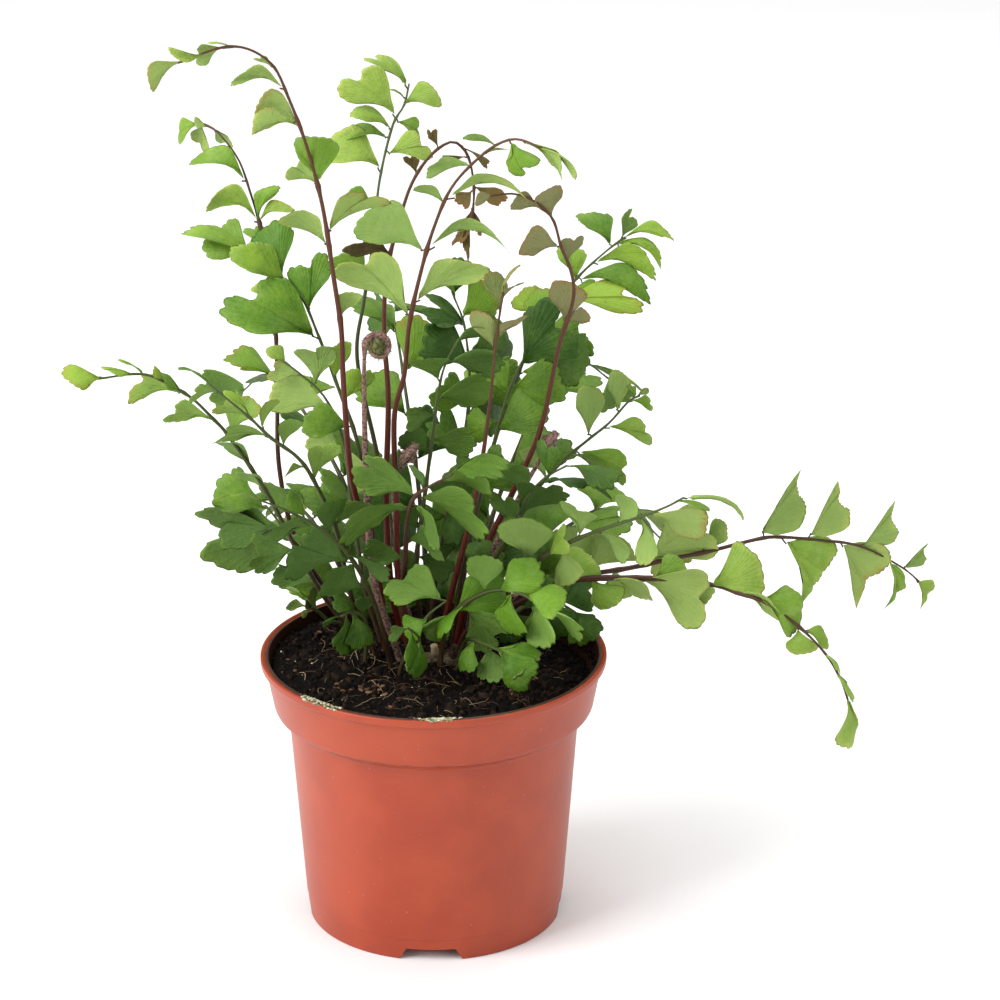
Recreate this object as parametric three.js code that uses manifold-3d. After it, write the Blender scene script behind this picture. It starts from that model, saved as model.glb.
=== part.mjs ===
// A fern in a plastic nursery pot, in millimetres, +Z up.
// The origin is the middle of the pot's foot, on the surface that the pot stands on.
// Every frond is one closed solid: its stem with the leaflets that grow on it.

import * as THREE from 'three';
import Module from 'manifold-3d';
import { mergeVertices } from 'three/addons/utils/BufferGeometryUtils.js';

const wasm = await Module();
wasm.setup();

// --- Driving dimensions -----------------------------------------------------------------------

const POT = {
  height: 97, rimRadius: 60, lipHeight: 2.6, lipWidth: 2.8, lipRound: 0.8, lipStep: 0.8,
  bandRadius: 58.3, bandFoot: 55.3, bandHeight: 19, shoulderHeight: 75.3, shoulderRadius: 50.5,
  innerRise: 0.8, footRadius: 44.5, wall: 1.5, draft: 0.4,
  floorRise: 5, floorThickness: 1.4, discRadius: 17, discSlope: 2, sides: 32,
};
const NOTCH = {
  count: 4, topWidth: 17, footWidth: 23, height: 4.4, firstAngle: -1, below: 1, inset: 4.5, depth: 8,
};
const DRAIN = { count: 6, radius: 4, ring: 31, depth: 8, sides: 6 };
// Clearance between the pot, the soil and what stands in the soil.
const GAP = 0.35;
const SOIL = {
  level: 89.6, fallToRight: 0.08, fallToBack: 0.01, lump: 1.1, lumpLength: 6, rings: [44, 24],
};
const STEM = {
  sides: 3, step: 30, bendLength: 35, tipRadius: 0.6, taper: 0.8, rootDepth: 12,
  tension: 0.5, fineness: 480, samples: 120, leanPower: 1.3,
};
const BLADE = { thickness: 0.62, arch: 0.11, cup: 0.35, clearance: 0.3, small: 26, leastAcross: 0.3 };
// How leaflets set by rule point: forward along the stem, upward, and shorter towards the tip.
const SPREAD = {
  forward: 0.45, moreForward: 0.3, tipForward: 6, upward: 0.1, upwardDraw: 0.15,
  shorter: 0.3, lengthDraw: 0.1,
};
// How far a leaflet may stand out of its frond's plane by chance, in degrees.
const SWAY = 10;
// Swings about the stem that a leaflet tries in turn, in degrees, until it is clear.
const SWINGS = [0, 14, -14, 28, -28, 42, -42, 56, -56];
const STEEPEST = 58;

// The viewpoint from which the fronds' points were read: a square picture, its sides 1000 long,
// taken with a long lens. A point of it, with a depth, is a place in space.
const VIEW = { middle: 500, focal: 3750, distance: 1280, pitch: 20.7, aim: [23, 0, 153] };

// --- The fronds --------------------------------------------------------------------------------
// hue:    the leaflets' colour, a name in HUES
// girth:  the stem's thickness at the soil, in mm
// width:  how wide the leaflets are, against the usual one
// bow:    how far the leaflets curve back to the frond's tip, as a fraction of their length
// sickles: how many of the last leaflets taper to a long tip; the others are fans
// root:   where the stem leaves the soil, [x, y] in mm
// lean:   how much farther from the viewer the stem's tip is than its root, in mm
// tilt:   how far the frond's plane is turned about its stem, in degrees
// stem:   points along the stem, [picture x, picture y]
// path:   points along a stem at the back, [x, y, z] in mm
// leaves: leaflets, [picture x and y of the root, picture x and y of the tip] and, where they have
//         their own, a roll in degrees, a width against the frond's and a bow
// spread: leaflets set by rule, [fraction of the stem where they start, count, length in mm]
const FRONDS = [
  {
    name: 'tall_left_frond', hue: 'young', girth: 2.4, width: 0.9, bow: 0.08,
    root: [-17, 12], lean: -62, tilt: 12,
    stem: [[380, 590], [362, 520], [350, 470], [343, 380], [341, 330], [333, 275], [322, 205],
      [306, 145], [288, 97], [273, 66], [248, 49], [220, 48], [178, 63]],
    leaves: [[341, 318, 361, 294], [328, 247, 279, 218, 0, 0.75, 0.06], [330, 236, 389, 197, 0, 0.9],
      [322, 185, 296, 140, 0, 1.4], [318, 181, 285, 174, 0, 1.2], [298, 128, 271, 88, 180, 1.3],
      [296, 122, 251, 132, 0, 0.6], [283, 90, 231, 87, 0, 0.45, 0.2], [273, 66, 253, 60, 0, 0.9],
      [230, 48, 207, 41, 0, 0.8], [223, 50, 199, 67, 0, 1.1], [203, 52, 169, 49, 0, 0.45],
      [180, 62, 151, 89, 0, 0.8]],
  },
  {
    name: 'tall_middle_frond', hue: 'young', girth: 2.4, width: 0.95, bow: 0.06,
    root: [-6, 14], lean: -35, tilt: -10,
    stem: [[399, 590], [396, 500], [394, 418], [404, 375], [409, 325], [420, 275], [433, 230], [452, 187],
      [482, 155], [505, 141], [522, 140], [541, 148]],
    leaves: [[410, 322, 332, 267], [414, 303, 493, 276, 10, 0.6, 0.08], [424, 255, 353, 228],
      [430, 250, 511, 244, 10, 0.5, 0.2], [444, 203, 413, 188, 0, 0.75],
      [446, 199, 533, 199, 12, 0.5, 0.17], [470, 164, 426, 178, 0, 0.6], [482, 156, 512, 150, 0, 0.35],
      [497, 145, 462, 139, 0, 0.5], [509, 141, 515, 178, 0, 1.5], [522, 140, 564, 178, 10, 0.6, 0.15],
      [541, 148, 577, 179, 10, 0.5, 0.1]],
  },
  {
    name: 'red_drooping_frond', hue: 'dried', girth: 2.6, width: 0.7, bow: 0.05,
    root: [-11, 24], lean: 22, tilt: 30,
    stem: [[391, 590], [386, 500], [388, 400], [384, 335], [386, 275], [396, 232], [411, 185], [430, 156],
      [450, 142], [462, 147], [470, 162], [474, 190], [472, 222]],
    leaves: [[391, 258, 347, 252, 30], [418, 174, 404, 158, 0, 1], [440, 147, 427, 133, 20],
      [463, 147, 488, 168, 20, 1.2], [467, 156, 440, 156, 0, 0.6], [474, 190, 454, 197, 0, 1.6],
      [474, 188, 506, 196, 0, 1.3], [474, 205, 463, 228, 20, 1.4], [473, 215, 452, 243, 0, 0.5],
      [472, 222, 481, 236, 20, 1.2], [472, 222, 469, 258, 0, 0.4]],
  },
  {
    name: 'red_arching_frond', hue: 'rosy', girth: 2.6, width: 0.9, bow: 0.05,
    root: [7, 18], lean: -30, tilt: 20,
    stem: [[468, 590], [487, 545], [509, 500], [540, 430], [558, 350], [573, 300], [571, 272],
      [561, 247], [553, 220], [537, 203], [515, 194], [490, 196]],
    leaves: [[567, 328, 552, 283, 0, 1.2], [568, 324, 591, 321, 0, 1.2], [568, 264, 585, 237, 0, 1.3],
      [560, 247, 519, 255, 0, 1.2], [554, 222, 560, 185, 0, 1.5], [541, 210, 510, 209, 0, 1.3],
      [490, 196, 476, 206, 20]],
  },
  {
    name: 'red_short_frond', hue: 'rosy', girth: 2.4, width: 0.8,
    root: [1, 12], lean: -25, tilt: -25,
    stem: [[452, 590], [470, 520], [482, 460], [490, 400], [496, 340], [503, 292]],
    leaves: [[495, 350, 469, 312, 30], [497, 338, 529, 317, 20], [501, 308, 486, 271, 40],
      [502, 300, 524, 282, 30], [503, 292, 516, 262, 30]],
  },
  {
    name: 'thin_left_frond', hue: 'young', girth: 2.0, width: 0.95, bow: 0.12,
    root: [-22, 29], lean: 45, tilt: -14,
    stem: [[334, 600], [296, 540], [279, 468], [277, 390], [275, 320], [268, 262], [259, 222],
      [250, 192], [238, 159], [216, 131], [197, 122]],
    leaves: [[276, 340, 254, 318, 30], [274, 300, 250, 290, 20], [265, 248, 243, 230],
      [260, 221, 205, 211, 0, 0.65, 0.3], [260, 225, 295, 213, 0, 0.5, 0.2], [259, 220, 279, 189, 0, 0.6],
      [249, 185, 188, 163, 0, 0.6, 0.2], [214, 129, 234, 146, 0, 1.2], [199, 123, 207, 152, 0, 1.2],
      [210, 127, 195, 117, 40], [197, 122, 177, 144, 0, 1.1]],
  },
  {
    name: 'left_fan_frond', hue: 'middle', girth: 2.0, width: 1, bow: 0.03,
    root: [-13, 18], lean: 10, tilt: 15,
    stem: [[378, 600], [371, 520], [364, 470], [352, 425], [337, 385], [318, 335], [302, 299],
      [281, 281], [262, 268], [250, 257]],
    leaves: [[352, 425, 302, 431], [344, 402, 374, 372], [334, 378, 350, 342],
      [319, 338, 227, 313, 0, 0.9], [310, 312, 326, 256], [290, 288, 229, 253, 0, 0.75],
      [281, 281, 283, 219, 0, 1.15], [252, 258, 183, 232, 0, 0.55], [250, 257, 203, 246, 0, 1.5]],
  },
  {
    name: 'left_reaching_frond', hue: 'middle', girth: 1.9, width: 0.85, bow: 0.05,
    root: [-25, 20], lean: -50, tilt: -20,
    stem: [[333, 610], [302, 560], [266, 492], [229, 437], [212, 418], [190, 397], [158, 379],
      [136, 374], [98, 379]],
    leaves: [[268, 493, 236, 472, 0, 1.3], [252, 470, 216, 442, 0, 1.4], [229, 437, 262, 405],
      [214, 420, 163, 421, 0, 0.9], [186, 393, 128, 397, 0, 0.75, 0.1], [181, 389, 157, 370, 0, 1.2],
      [163, 381, 154, 366, 20], [143, 375, 117, 360, 20, 0.9], [133, 374, 100, 368, 0, 1.1],
      [98, 379, 64, 367, 0, 1.3]],
  },
  {
    name: 'left_second_frond', hue: 'middle', girth: 1.9, width: 1, bow: 0.04,
    root: [-20, 8], lean: -60, tilt: 25,
    stem: [[352, 600], [336, 530], [316, 485], [298, 458], [271, 438], [250, 418], [232, 403],
      [209, 384]],
    leaves: [[335, 526, 372, 506], [314, 482, 338, 444], [305, 468, 284, 478], [284, 447, 300, 420],
      [268, 438, 212, 444], [262, 430, 278, 399], [250, 419, 225, 391, 180, 1.3],
      [248, 417, 212, 413, 0, 0.9], [219, 392, 189, 400, 0, 1], [209, 384, 178, 367, 0, 1]],
  },
  {
    name: 'left_low_frond', hue: 'old', girth: 2.2, width: 1.3,
    root: [-28, 27], lean: 2, tilt: -30,
    stem: [[322, 592], [300, 556], [280, 524], [266, 506]],
    leaves: [[318, 588, 272, 575], [308, 570, 330, 540], [296, 548, 253, 570], [289, 538, 214, 560],
      [282, 527, 219, 540], [276, 518, 300, 492], [266, 506, 212, 501, 20]],
  },
  {
    name: 'left_front_frond', hue: 'old', girth: 1.9, width: 1.3,
    root: [-15, 3], lean: -50, tilt: 35,
    stem: [[375, 606], [352, 560], [322, 530], [290, 512], [262, 501]],
    leaves: [[366, 590, 318, 590], [354, 563, 283, 562], [346, 552, 384, 583], [330, 537, 342, 498],
      [314, 525, 268, 540], [304, 520, 290, 490], [262, 501, 213, 499]],
  },
  {
    name: 'left_inner_frond', hue: 'young', girth: 1.9, width: 1, bow: 0.04,
    root: [-19, 19], lean: 5, tilt: -30,
    stem: [[365, 590], [351, 500], [343, 440], [325, 398], [300, 374], [284, 362]],
    leaves: [[351, 500, 386, 468], [345, 455, 304, 446], [334, 410, 268, 402], [314, 386, 331, 350],
      [300, 374, 268, 377], [284, 362, 265, 351]],
  },
  {
    name: 'top_back_frond', hue: 'young', girth: 2.0, width: 0.95, bow: 0.08,
    root: [-9, 36], lean: 60, tilt: 14,
    stem: [[398, 560], [376, 450], [357, 359], [364, 300], [374, 237], [379, 183], [392, 127],
      [404, 105], [409, 84]],
    leaves: [[366, 285, 330, 262], [371, 250, 400, 228], [376, 212, 340, 205], [381, 170, 320, 155, 20],
      [384, 155, 433, 156], [388, 137, 341, 137, 40], [391, 128, 352, 118, 20], [395, 121, 419, 141],
      [397, 117, 335, 91], [403, 107, 442, 101], [406, 97, 391, 89, 40], [409, 84, 363, 63]],
  },
  {
    name: 'right_upper_frond', hue: 'middle', girth: 2.0, width: 1, bow: 0.06,
    root: [9, 32], lean: 45, tilt: -22,
    stem: [[466, 560], [492, 450], [524, 359], [546, 318], [575, 280], [605, 252], [625, 237]],
    leaves: [[505, 410, 462, 372], [520, 370, 558, 388], [534, 340, 592, 355], [545, 320, 510, 300],
      [560, 298, 644, 312, 0, 0.65, 0], [566, 290, 602, 300, 0, 1, 0], [575, 281, 560, 244, 0, 1, 0],
      [576, 281, 648, 304, 10, 0.5, 0.16], [593, 263, 655, 282, 10, 0.5, 0.18],
      [612, 247, 577, 214, 0, 1, 0.04], [616, 245, 660, 267, 10, 0.5, 0.2], [623, 238, 630, 207, 0, 1],
      [625, 237, 672, 238, 10, 0.6, 0.14]],
  },
  {
    name: 'right_small_frond', hue: 'young', girth: 1.7, width: 0.75, bow: 0.08,
    root: [14, 25], lean: 15, tilt: 20,
    stem: [[497, 570], [530, 500], [561, 463], [589, 439], [609, 423], [629, 401], [639, 396]],
    leaves: [[545, 480, 518, 452], [572, 458, 604, 475, 0, 0.6], [577, 453, 623, 486, 0, 0.8, 0.14],
      [590, 439, 575, 388, 0, 1.1, 0.06], [607, 427, 654, 443, 0, 0.7, 0.08], [617, 411, 607, 374, 0, 1],
      [630, 401, 654, 411, 0, 0.8], [634, 399, 627, 386, 20], [639, 396, 648, 388]],
  },
  {
    name: 'right_long_frond', hue: 'young', girth: 2.0, width: 1.1, bow: 0.06, sickles: 8,
    root: [19, 22], lean: 40, tilt: 8,
    stem: [[510, 606], [545, 583], [590, 574], [629, 568], [675, 558], [706, 552], [758, 539],
      [780, 537], [820, 540], [860, 546], [900, 566], [920, 582]],
    leaves: [[560, 580, 566, 524], [590, 574, 606, 528], [614, 570, 600, 610],
      [645, 562, 697, 503, 0, 1.2], [703, 553, 720, 518, 0, 0.6], [758, 539, 799, 465],
      [782, 538, 805, 610, 0, 1.3], [809, 539, 838, 477, 0, 1.15], [842, 544, 856, 608, 0, 1.35],
      [862, 547, 895, 500], [886, 559, 880, 610, 0, 0.7, 0.15], [905, 569, 928, 541],
      [918, 581, 921, 610, 0, 1.5]],
  },
  {
    name: 'right_trailing_frond', hue: 'young', girth: 2.2, width: 1.6, bow: 0.04,
    root: [7.5, 11.2], lean: -45, tilt: -12,
    stem: [[470, 628], [512, 606], [540, 592], [575, 580], [643, 578], [708, 584], [740, 594],
      [764, 602], [796, 624], [824, 652], [840, 678], [848, 700]],
    leaves: [[560, 584, 575, 546], [592, 579, 602, 612], [606, 579, 650, 603, 40],
      [640, 578, 700, 626, 30], [650, 578, 680, 556, 30], [684, 581, 694, 611],
      [707, 584, 766, 588, 180, 0.95], [738, 595, 784, 626, 0, 0.85], [760, 600, 804, 596, 0, 1],
      [800, 626, 790, 654, 0, 1], [804, 627, 829, 648, 180, 0.5], [824, 650, 842, 674, 0, 0.8],
      [838, 672, 853, 700, 0, 0.9], [848, 700, 849, 747, 50, 0.6]],
  },
  {
    name: 'right_front_frond', hue: 'young', girth: 1.9, width: 1, bow: 0.06,
    root: [16, 6], lean: -55, tilt: 30,
    stem: [[500, 604], [530, 566], [566, 544], [600, 530], [640, 517], [666, 507], [683, 498]],
    leaves: [[510, 592, 540, 560], [528, 568, 500, 523], [548, 553, 566, 524], [560, 546, 556, 586],
      [580, 538, 562, 502, 20], [596, 531, 622, 562], [618, 524, 620, 493], [640, 517, 640, 560, 10],
      [648, 513, 698, 545], [676, 502, 711, 509, 20, 0.6], [683, 498, 744, 518, 10, 0.55, 0.28]],
  },
  {
    name: 'centre_front_frond', hue: 'old', girth: 2.8, width: 1.3,
    root: [-8, 3], lean: -40, tilt: -35,
    stem: [[402, 606], [405, 560], [407, 522], [414, 498], [430, 486], [450, 476]],
    leaves: [[405, 560, 368, 560], [406, 540, 446, 556], [410, 505, 342, 541], [412, 502, 434, 553],
      [415, 497, 350, 481], [417, 496, 489, 539], [424, 490, 408, 466], [450, 476, 506, 455, 10],
      [438, 482, 492, 486]],
  },
  {
    name: 'centre_dark_frond', hue: 'old', girth: 2.0, width: 1.3,
    root: [-2, 29], lean: 25, tilt: 35,
    stem: [[438, 560], [455, 480], [469, 400], [465, 330], [452, 292]],
    leaves: [[441, 548, 472, 534], [448, 515, 420, 530], [462, 440, 428, 432], [468, 410, 500, 432],
      [469, 398, 430, 404], [470, 380, 520, 402], [469, 362, 424, 350], [468, 352, 512, 352],
      [464, 325, 430, 318], [462, 318, 500, 302], [456, 300, 440, 272], [452, 292, 474, 262]],
  },
  {
    name: 'centre_right_frond', hue: 'old', girth: 2.0, width: 1.3,
    root: [6, 25], lean: 5, tilt: -35,
    stem: [[462, 570], [482, 490], [500, 420], [514, 378], [533, 345], [552, 325]],
    leaves: [[466, 552, 500, 570], [474, 522, 446, 548], [482, 490, 524, 474], [488, 465, 456, 492],
      [497, 430, 545, 420], [500, 420, 470, 440], [508, 395, 484, 366], [512, 384, 562, 400],
      [520, 366, 548, 300], [533, 345, 580, 384], [552, 325, 528, 290]],
  },
  {
    name: 'centre_left_frond', hue: 'old', girth: 2.0, width: 1.3,
    root: [-4, 22], lean: -25, tilt: 30,
    stem: [[416, 570], [424, 500], [432, 440], [437, 400], [444, 368], [458, 340]],
    leaves: [[418, 556, 452, 578], [421, 530, 392, 516], [426, 485, 458, 508], [430, 455, 398, 440],
      [432, 440, 470, 455], [435, 415, 408, 430], [438, 398, 488, 402], [441, 382, 410, 358],
      [446, 362, 496, 374], [458, 340, 490, 330]],
  },
  {
    name: 'right_inner_frond', hue: 'old', girth: 2.0, width: 1.3, bow: 0.05,
    root: [12, 14], lean: -20, tilt: -25,
    stem: [[482, 586], [505, 540], [525, 500], [545, 478], [566, 466]],
    leaves: [[490, 572, 466, 548], [500, 552, 542, 540], [510, 530, 490, 492], [516, 518, 568, 492],
      [528, 497, 502, 470], [540, 483, 612, 487, 40], [548, 476, 540, 440], [566, 466, 622, 478, 50]],
  },
  {
    name: 'front_bright_frond', hue: 'middle', girth: 2.2, width: 1.3,
    root: [2, 1], lean: -20, tilt: 15,
    stem: [[448, 622], [470, 600], [496, 590], [522, 594], [545, 610]],
    leaves: [[450, 612, 490, 567], [467, 604, 437, 635, 40], [466, 604, 486, 656],
      [486, 593, 470, 558, 20], [500, 590, 530, 558], [512, 591, 502, 632, 30], [526, 595, 566, 590],
      [534, 601, 528, 646], [545, 610, 580, 642]],
  },
  {
    name: 'front_low_frond', hue: 'old', girth: 1.8, width: 1.3,
    root: [8, 0], lean: -22, tilt: 10,
    stem: [[466, 640], [484, 644], [502, 652]],
    leaves: [[474, 642, 458, 668], [488, 645, 484, 682, -40], [494, 648, 541, 654, 55],
      [500, 651, 520, 692, -50]],
  },
  {
    name: 'right_low_frond', hue: 'old', girth: 1.8, width: 1.3,
    root: [17, 18], lean: -4, tilt: -20,
    stem: [[505, 622], [530, 604], [556, 602], [575, 612]],
    leaves: [[512, 616, 502, 642], [516, 612, 532, 640], [520, 609, 536, 580], [528, 605, 550, 576],
      [542, 602, 560, 640], [556, 602, 590, 578], [566, 606, 602, 630], [575, 612, 582, 646]],
  },
  {
    name: 'crown_low_frond', hue: 'middle', girth: 1.7, width: 1.2,
    root: [-12, -2], lean: -7, tilt: 15,
    stem: [[408, 652], [426, 618], [446, 601]],
    leaves: [[446, 601, 385, 591], [428, 616, 408, 642], [420, 630, 444, 640]],
  },
  {
    name: 'crown_drooping_frond', hue: 'middle', girth: 1.6, width: 1.3,
    root: [-7, -3], lean: -12, tilt: 10,
    stem: [[416, 656], [419, 638], [408, 628]],
    leaves: [[412, 630, 414, 668], [419, 640, 420, 679, 50], [408, 628, 390, 641, 20]],
  },
  {
    name: 'left_shoot_frond', hue: 'young', girth: 1.5, width: 0.9,
    root: [-33, 33], lean: -8, tilt: -15,
    stem: [[330, 622], [316, 610], [306, 606]],
    leaves: [[320, 612, 312, 584], [314, 609, 290, 584, 20], [306, 606, 286, 609, 20],
      [310, 608, 304, 618, 20]],
  },
  {
    name: 'left_mat_frond', hue: 'old', girth: 1.7, width: 1.3,
    root: [-24, 4], lean: -10, tilt: 15,
    stem: [[366, 622], [352, 612], [342, 616]],
    leaves: [[362, 618, 372, 596], [356, 613, 334, 590], [350, 612, 372, 644], [342, 616, 322, 626],
      [345, 614, 350, 654]],
  },
  {
    name: 'back_middle_frond', hue: 'old', girth: 2.0, width: 1.3,
    root: [-2, 43], tilt: 8,
    path: [[-6, 54, 136], [-12, 80, 172], [-16, 104, 186], [-18, 124, 178]],
    spread: [0.12, 9, 28],
  },
  {
    name: 'back_left_frond', hue: 'old', girth: 2.0, width: 1.3,
    root: [-16, 41], tilt: 8,
    path: [[-30, 54, 132], [-48, 78, 158], [-62, 100, 164], [-72, 118, 152]],
    spread: [0.12, 9, 28],
  },
  {
    name: 'back_right_frond', hue: 'old', girth: 2.0, width: 1.3,
    root: [9, 41], tilt: 8,
    path: [[22, 54, 132], [38, 80, 162], [52, 102, 168], [64, 118, 156]],
    spread: [0.12, 9, 28],
  },
  {
    name: 'back_low_left_frond', hue: 'middle', girth: 1.8, width: 1.3,
    root: [-25, 38], tilt: 8,
    path: [[-36, 50, 112], [-48, 66, 124], [-58, 80, 122], [-64, 92, 110]],
    spread: [0.25, 8, 26],
  },
  {
    name: 'back_low_right_frond', hue: 'middle', girth: 1.8, width: 1.3,
    root: [17, 35], tilt: 8,
    path: [[34, 46, 112], [54, 62, 124], [70, 76, 120], [82, 90, 104]],
    spread: [0.18, 8, 26],
  },
];

// The young fronds still rolled up. The coil's middle is a point of the picture with its depth;
// a coil that is edge on leans to the right.
const FIDDLEHEADS = [
  {
    name: 'fiddlehead_left', root: [-12, 8], lean: -10, girth: 2.3,
    coil: { middle: [378, 347, -14], radius: 4.4, edgeOn: false },
    stem: [[376, 590], [368, 520], [365, 440], [364, 380]],
  },
  {
    name: 'fiddlehead_right', root: [11, 20], lean: -2, girth: 1.9,
    coil: { middle: [548, 443, 13], radius: 4.2, edgeOn: true },
    stem: [[476, 590], [503, 530], [526, 484], [540, 460]],
  },
  {
    name: 'fiddlehead_middle', root: [-6, 19], lean: -4, girth: 1.9,
    coil: { middle: [408, 456, 9], radius: 4.2, edgeOn: true },
    stem: [[402, 590], [396, 530], [394, 490], [397, 475]],
  },
];
const COIL = {
  sides: 4, turns: 1.2, steps: 12, innerRadius: 1.9, outerThickness: 1.1, innerThickness: 0.7, lean: 51,
};
const RHIZOME = {
  points: [[-3, 6.5], [1, 7], [6, 6], [11, 6.5]], radius: 2.4, rise: 0.6, sides: 6,
  stubs: [[1, -1, -2], [2, 1.5, -1]], stubRadius: 1.6, stubHeight: 6,
};

// A blade's outline, [along, across] as fractions of its length, and the triangles that fill it.
// Across is towards the frond's tip, where the broad toothed corner is.
const FAN = {
  points: [[0, 0], [0.38, -0.02], [0.68, -0.14], [1, 0], [0.86, 0.2], [0.64, 0.38], [0.44, 0.4],
    [0.22, 0.13]],
  faces: [[0, 1, 7], [1, 6, 7], [1, 5, 6], [1, 4, 5], [1, 3, 4], [1, 2, 3]],
};
const SMALL_FAN = {
  points: [[0, 0], [0.45, -0.08], [1, 0], [0.84, 0.28], [0.52, 0.42], [0.24, 0.14]],
  faces: [[0, 1, 5], [1, 4, 5], [1, 3, 4], [1, 2, 3]],
};
const SICKLE = {
  points: [[0, 0], [0.5, 0.03], [1, 0], [0.72, 0.13], [0.48, 0.34], [0.2, 0.33]],
  faces: [[0, 1, 5], [1, 4, 5], [1, 3, 4], [1, 2, 3]],
};

const HUES = {
  young: 0x7fae3a, middle: 0x5c9330, old: 0x3f7327, rosy: 0x8c7a55, dried: 0x6b4a2c,
  terracotta: 0xb9552f, soil: 0x2a1d16, bark: 0x5a3527,
};

// --- Placing points ----------------------------------------------------------------------------

const rad = THREE.MathUtils.degToRad;
const LOOK = new THREE.Vector3(0, Math.cos(rad(VIEW.pitch)), -Math.sin(rad(VIEW.pitch)));
const RIGHT = new THREE.Vector3(1, 0, 0);
const UP = new THREE.Vector3(0, Math.sin(rad(VIEW.pitch)), Math.cos(rad(VIEW.pitch)));
const EYE = new THREE.Vector3(...VIEW.aim).addScaledVector(LOOK, -VIEW.distance);
const ZENITH = new THREE.Vector3(0, 0, 1);

// The place in space of a point of the picture, at a depth behind the pot's axis.
function spot(px, py, depth) {
  const ray = LOOK.clone()
    .addScaledVector(RIGHT, (px - VIEW.middle) / VIEW.focal)
    .addScaledVector(UP, (VIEW.middle - py) / VIEW.focal);
  return EYE.clone().addScaledVector(ray, (depth - EYE.y) / ray.y);
}

// How far a place in space is seen from a point of the picture.
function seenApart(place, px, py) {
  const offset = place.clone().sub(EYE);
  const scale = VIEW.focal / offset.dot(LOOK);
  const x = VIEW.middle + scale * offset.dot(RIGHT);
  const y = VIEW.middle - scale * offset.dot(UP);
  return Math.hypot(x - px, y - py);
}

// A row of draws between -1 and 1, the same each time.
function draws(start) {
  let state = start;
  return () => {
    state = (Math.imul(state, 1664525) + 1013904223) >>> 0;
    return state / 2 ** 31 - 1;
  };
}

// --- Solids ------------------------------------------------------------------------------------

// A closed solid from a geometry, its shared vertices merged and its flat triangles dropped.
function solid(geometry) {
  const bare = new THREE.BufferGeometry();
  bare.setAttribute('position', geometry.getAttribute('position'));
  const triangles = geometry.index ?? [...Array(geometry.getAttribute('position').count).keys()];
  bare.setIndex(triangles);
  const merged = mergeVertices(bare, 1e-4);
  const kept = [];
  const all = merged.index.array;
  for (let i = 0; i < all.length; i += 3) {
    const [a, b, c] = [all[i], all[i + 1], all[i + 2]];
    if (a !== b && b !== c && c !== a) {
      kept.push(a, b, c);
    }
  }
  return new wasm.Manifold(new wasm.Mesh({
    numProp: 3,
    vertProperties: new Float32Array(merged.getAttribute('position').array),
    triVerts: new Uint32Array(kept),
  }));
}

function indexed(positions, triangles) {
  const geometry = new THREE.BufferGeometry();
  geometry.setAttribute('position', new THREE.Float32BufferAttribute(positions, 3));
  geometry.setIndex(triangles);
  return geometry;
}

// The named mesh of a solid.
function mesh(name, body, hue, roughness) {
  const { vertProperties, triVerts } = body.getMesh();
  const geometry = indexed(Array.from(vertProperties), Array.from(triVerts));
  geometry.computeVertexNormals();
  const material = new THREE.MeshStandardMaterial({ color: HUES[hue], roughness, metalness: 0 });
  const made = new THREE.Mesh(geometry, material);
  made.name = name;
  return made;
}

// A solid turned on a lathe round Z from [radius, height] points.
function turned(profile, sides) {
  const points = profile.map(([radius, height]) => new THREE.Vector2(radius, height));
  return new THREE.LatheGeometry(points, sides).rotateX(Math.PI / 2);
}

// A rod with flat sides through the given points, its radius its own at each.
function rod(points, radii, sides) {
  const positions = [];
  const triangles = [];
  const last = points.length - 1;
  let normal = new THREE.Vector3(1, 0.2, 0.1);
  points.forEach((point, i) => {
    const tangent = points[Math.min(i + 1, last)].clone().sub(points[Math.max(i - 1, 0)]).normalize();
    normal = normal.clone().addScaledVector(tangent, -normal.dot(tangent)).normalize();
    const binormal = tangent.clone().cross(normal);
    for (let side = 0; side < sides; side += 1) {
      const angle = (2 * Math.PI * side) / sides;
      const place = point.clone()
        .addScaledVector(normal, radii[i] * Math.cos(angle))
        .addScaledVector(binormal, radii[i] * Math.sin(angle));
      positions.push(place.x, place.y, place.z);
    }
  });
  for (let i = 0; i < last; i += 1) {
    for (let side = 0; side < sides; side += 1) {
      const next = (side + 1) % sides;
      const [a, b] = [i * sides + side, i * sides + next];
      triangles.push(a, b, b + sides, a, b + sides, a + sides);
    }
  }
  for (let side = 1; side < sides - 1; side += 1) {
    triangles.push(0, side + 1, side);
    triangles.push(last * sides, last * sides + side, last * sides + side + 1);
  }
  return solid(indexed(positions, triangles));
}

// --- The pot and its soil ----------------------------------------------------------------------

// The inside of the pot's band at a height.
function insideRadius(height) {
  const rise = (height - POT.shoulderHeight) / (POT.height - POT.shoulderHeight);
  return THREE.MathUtils.lerp(POT.bandFoot, POT.bandRadius, rise) - POT.wall;
}

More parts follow.
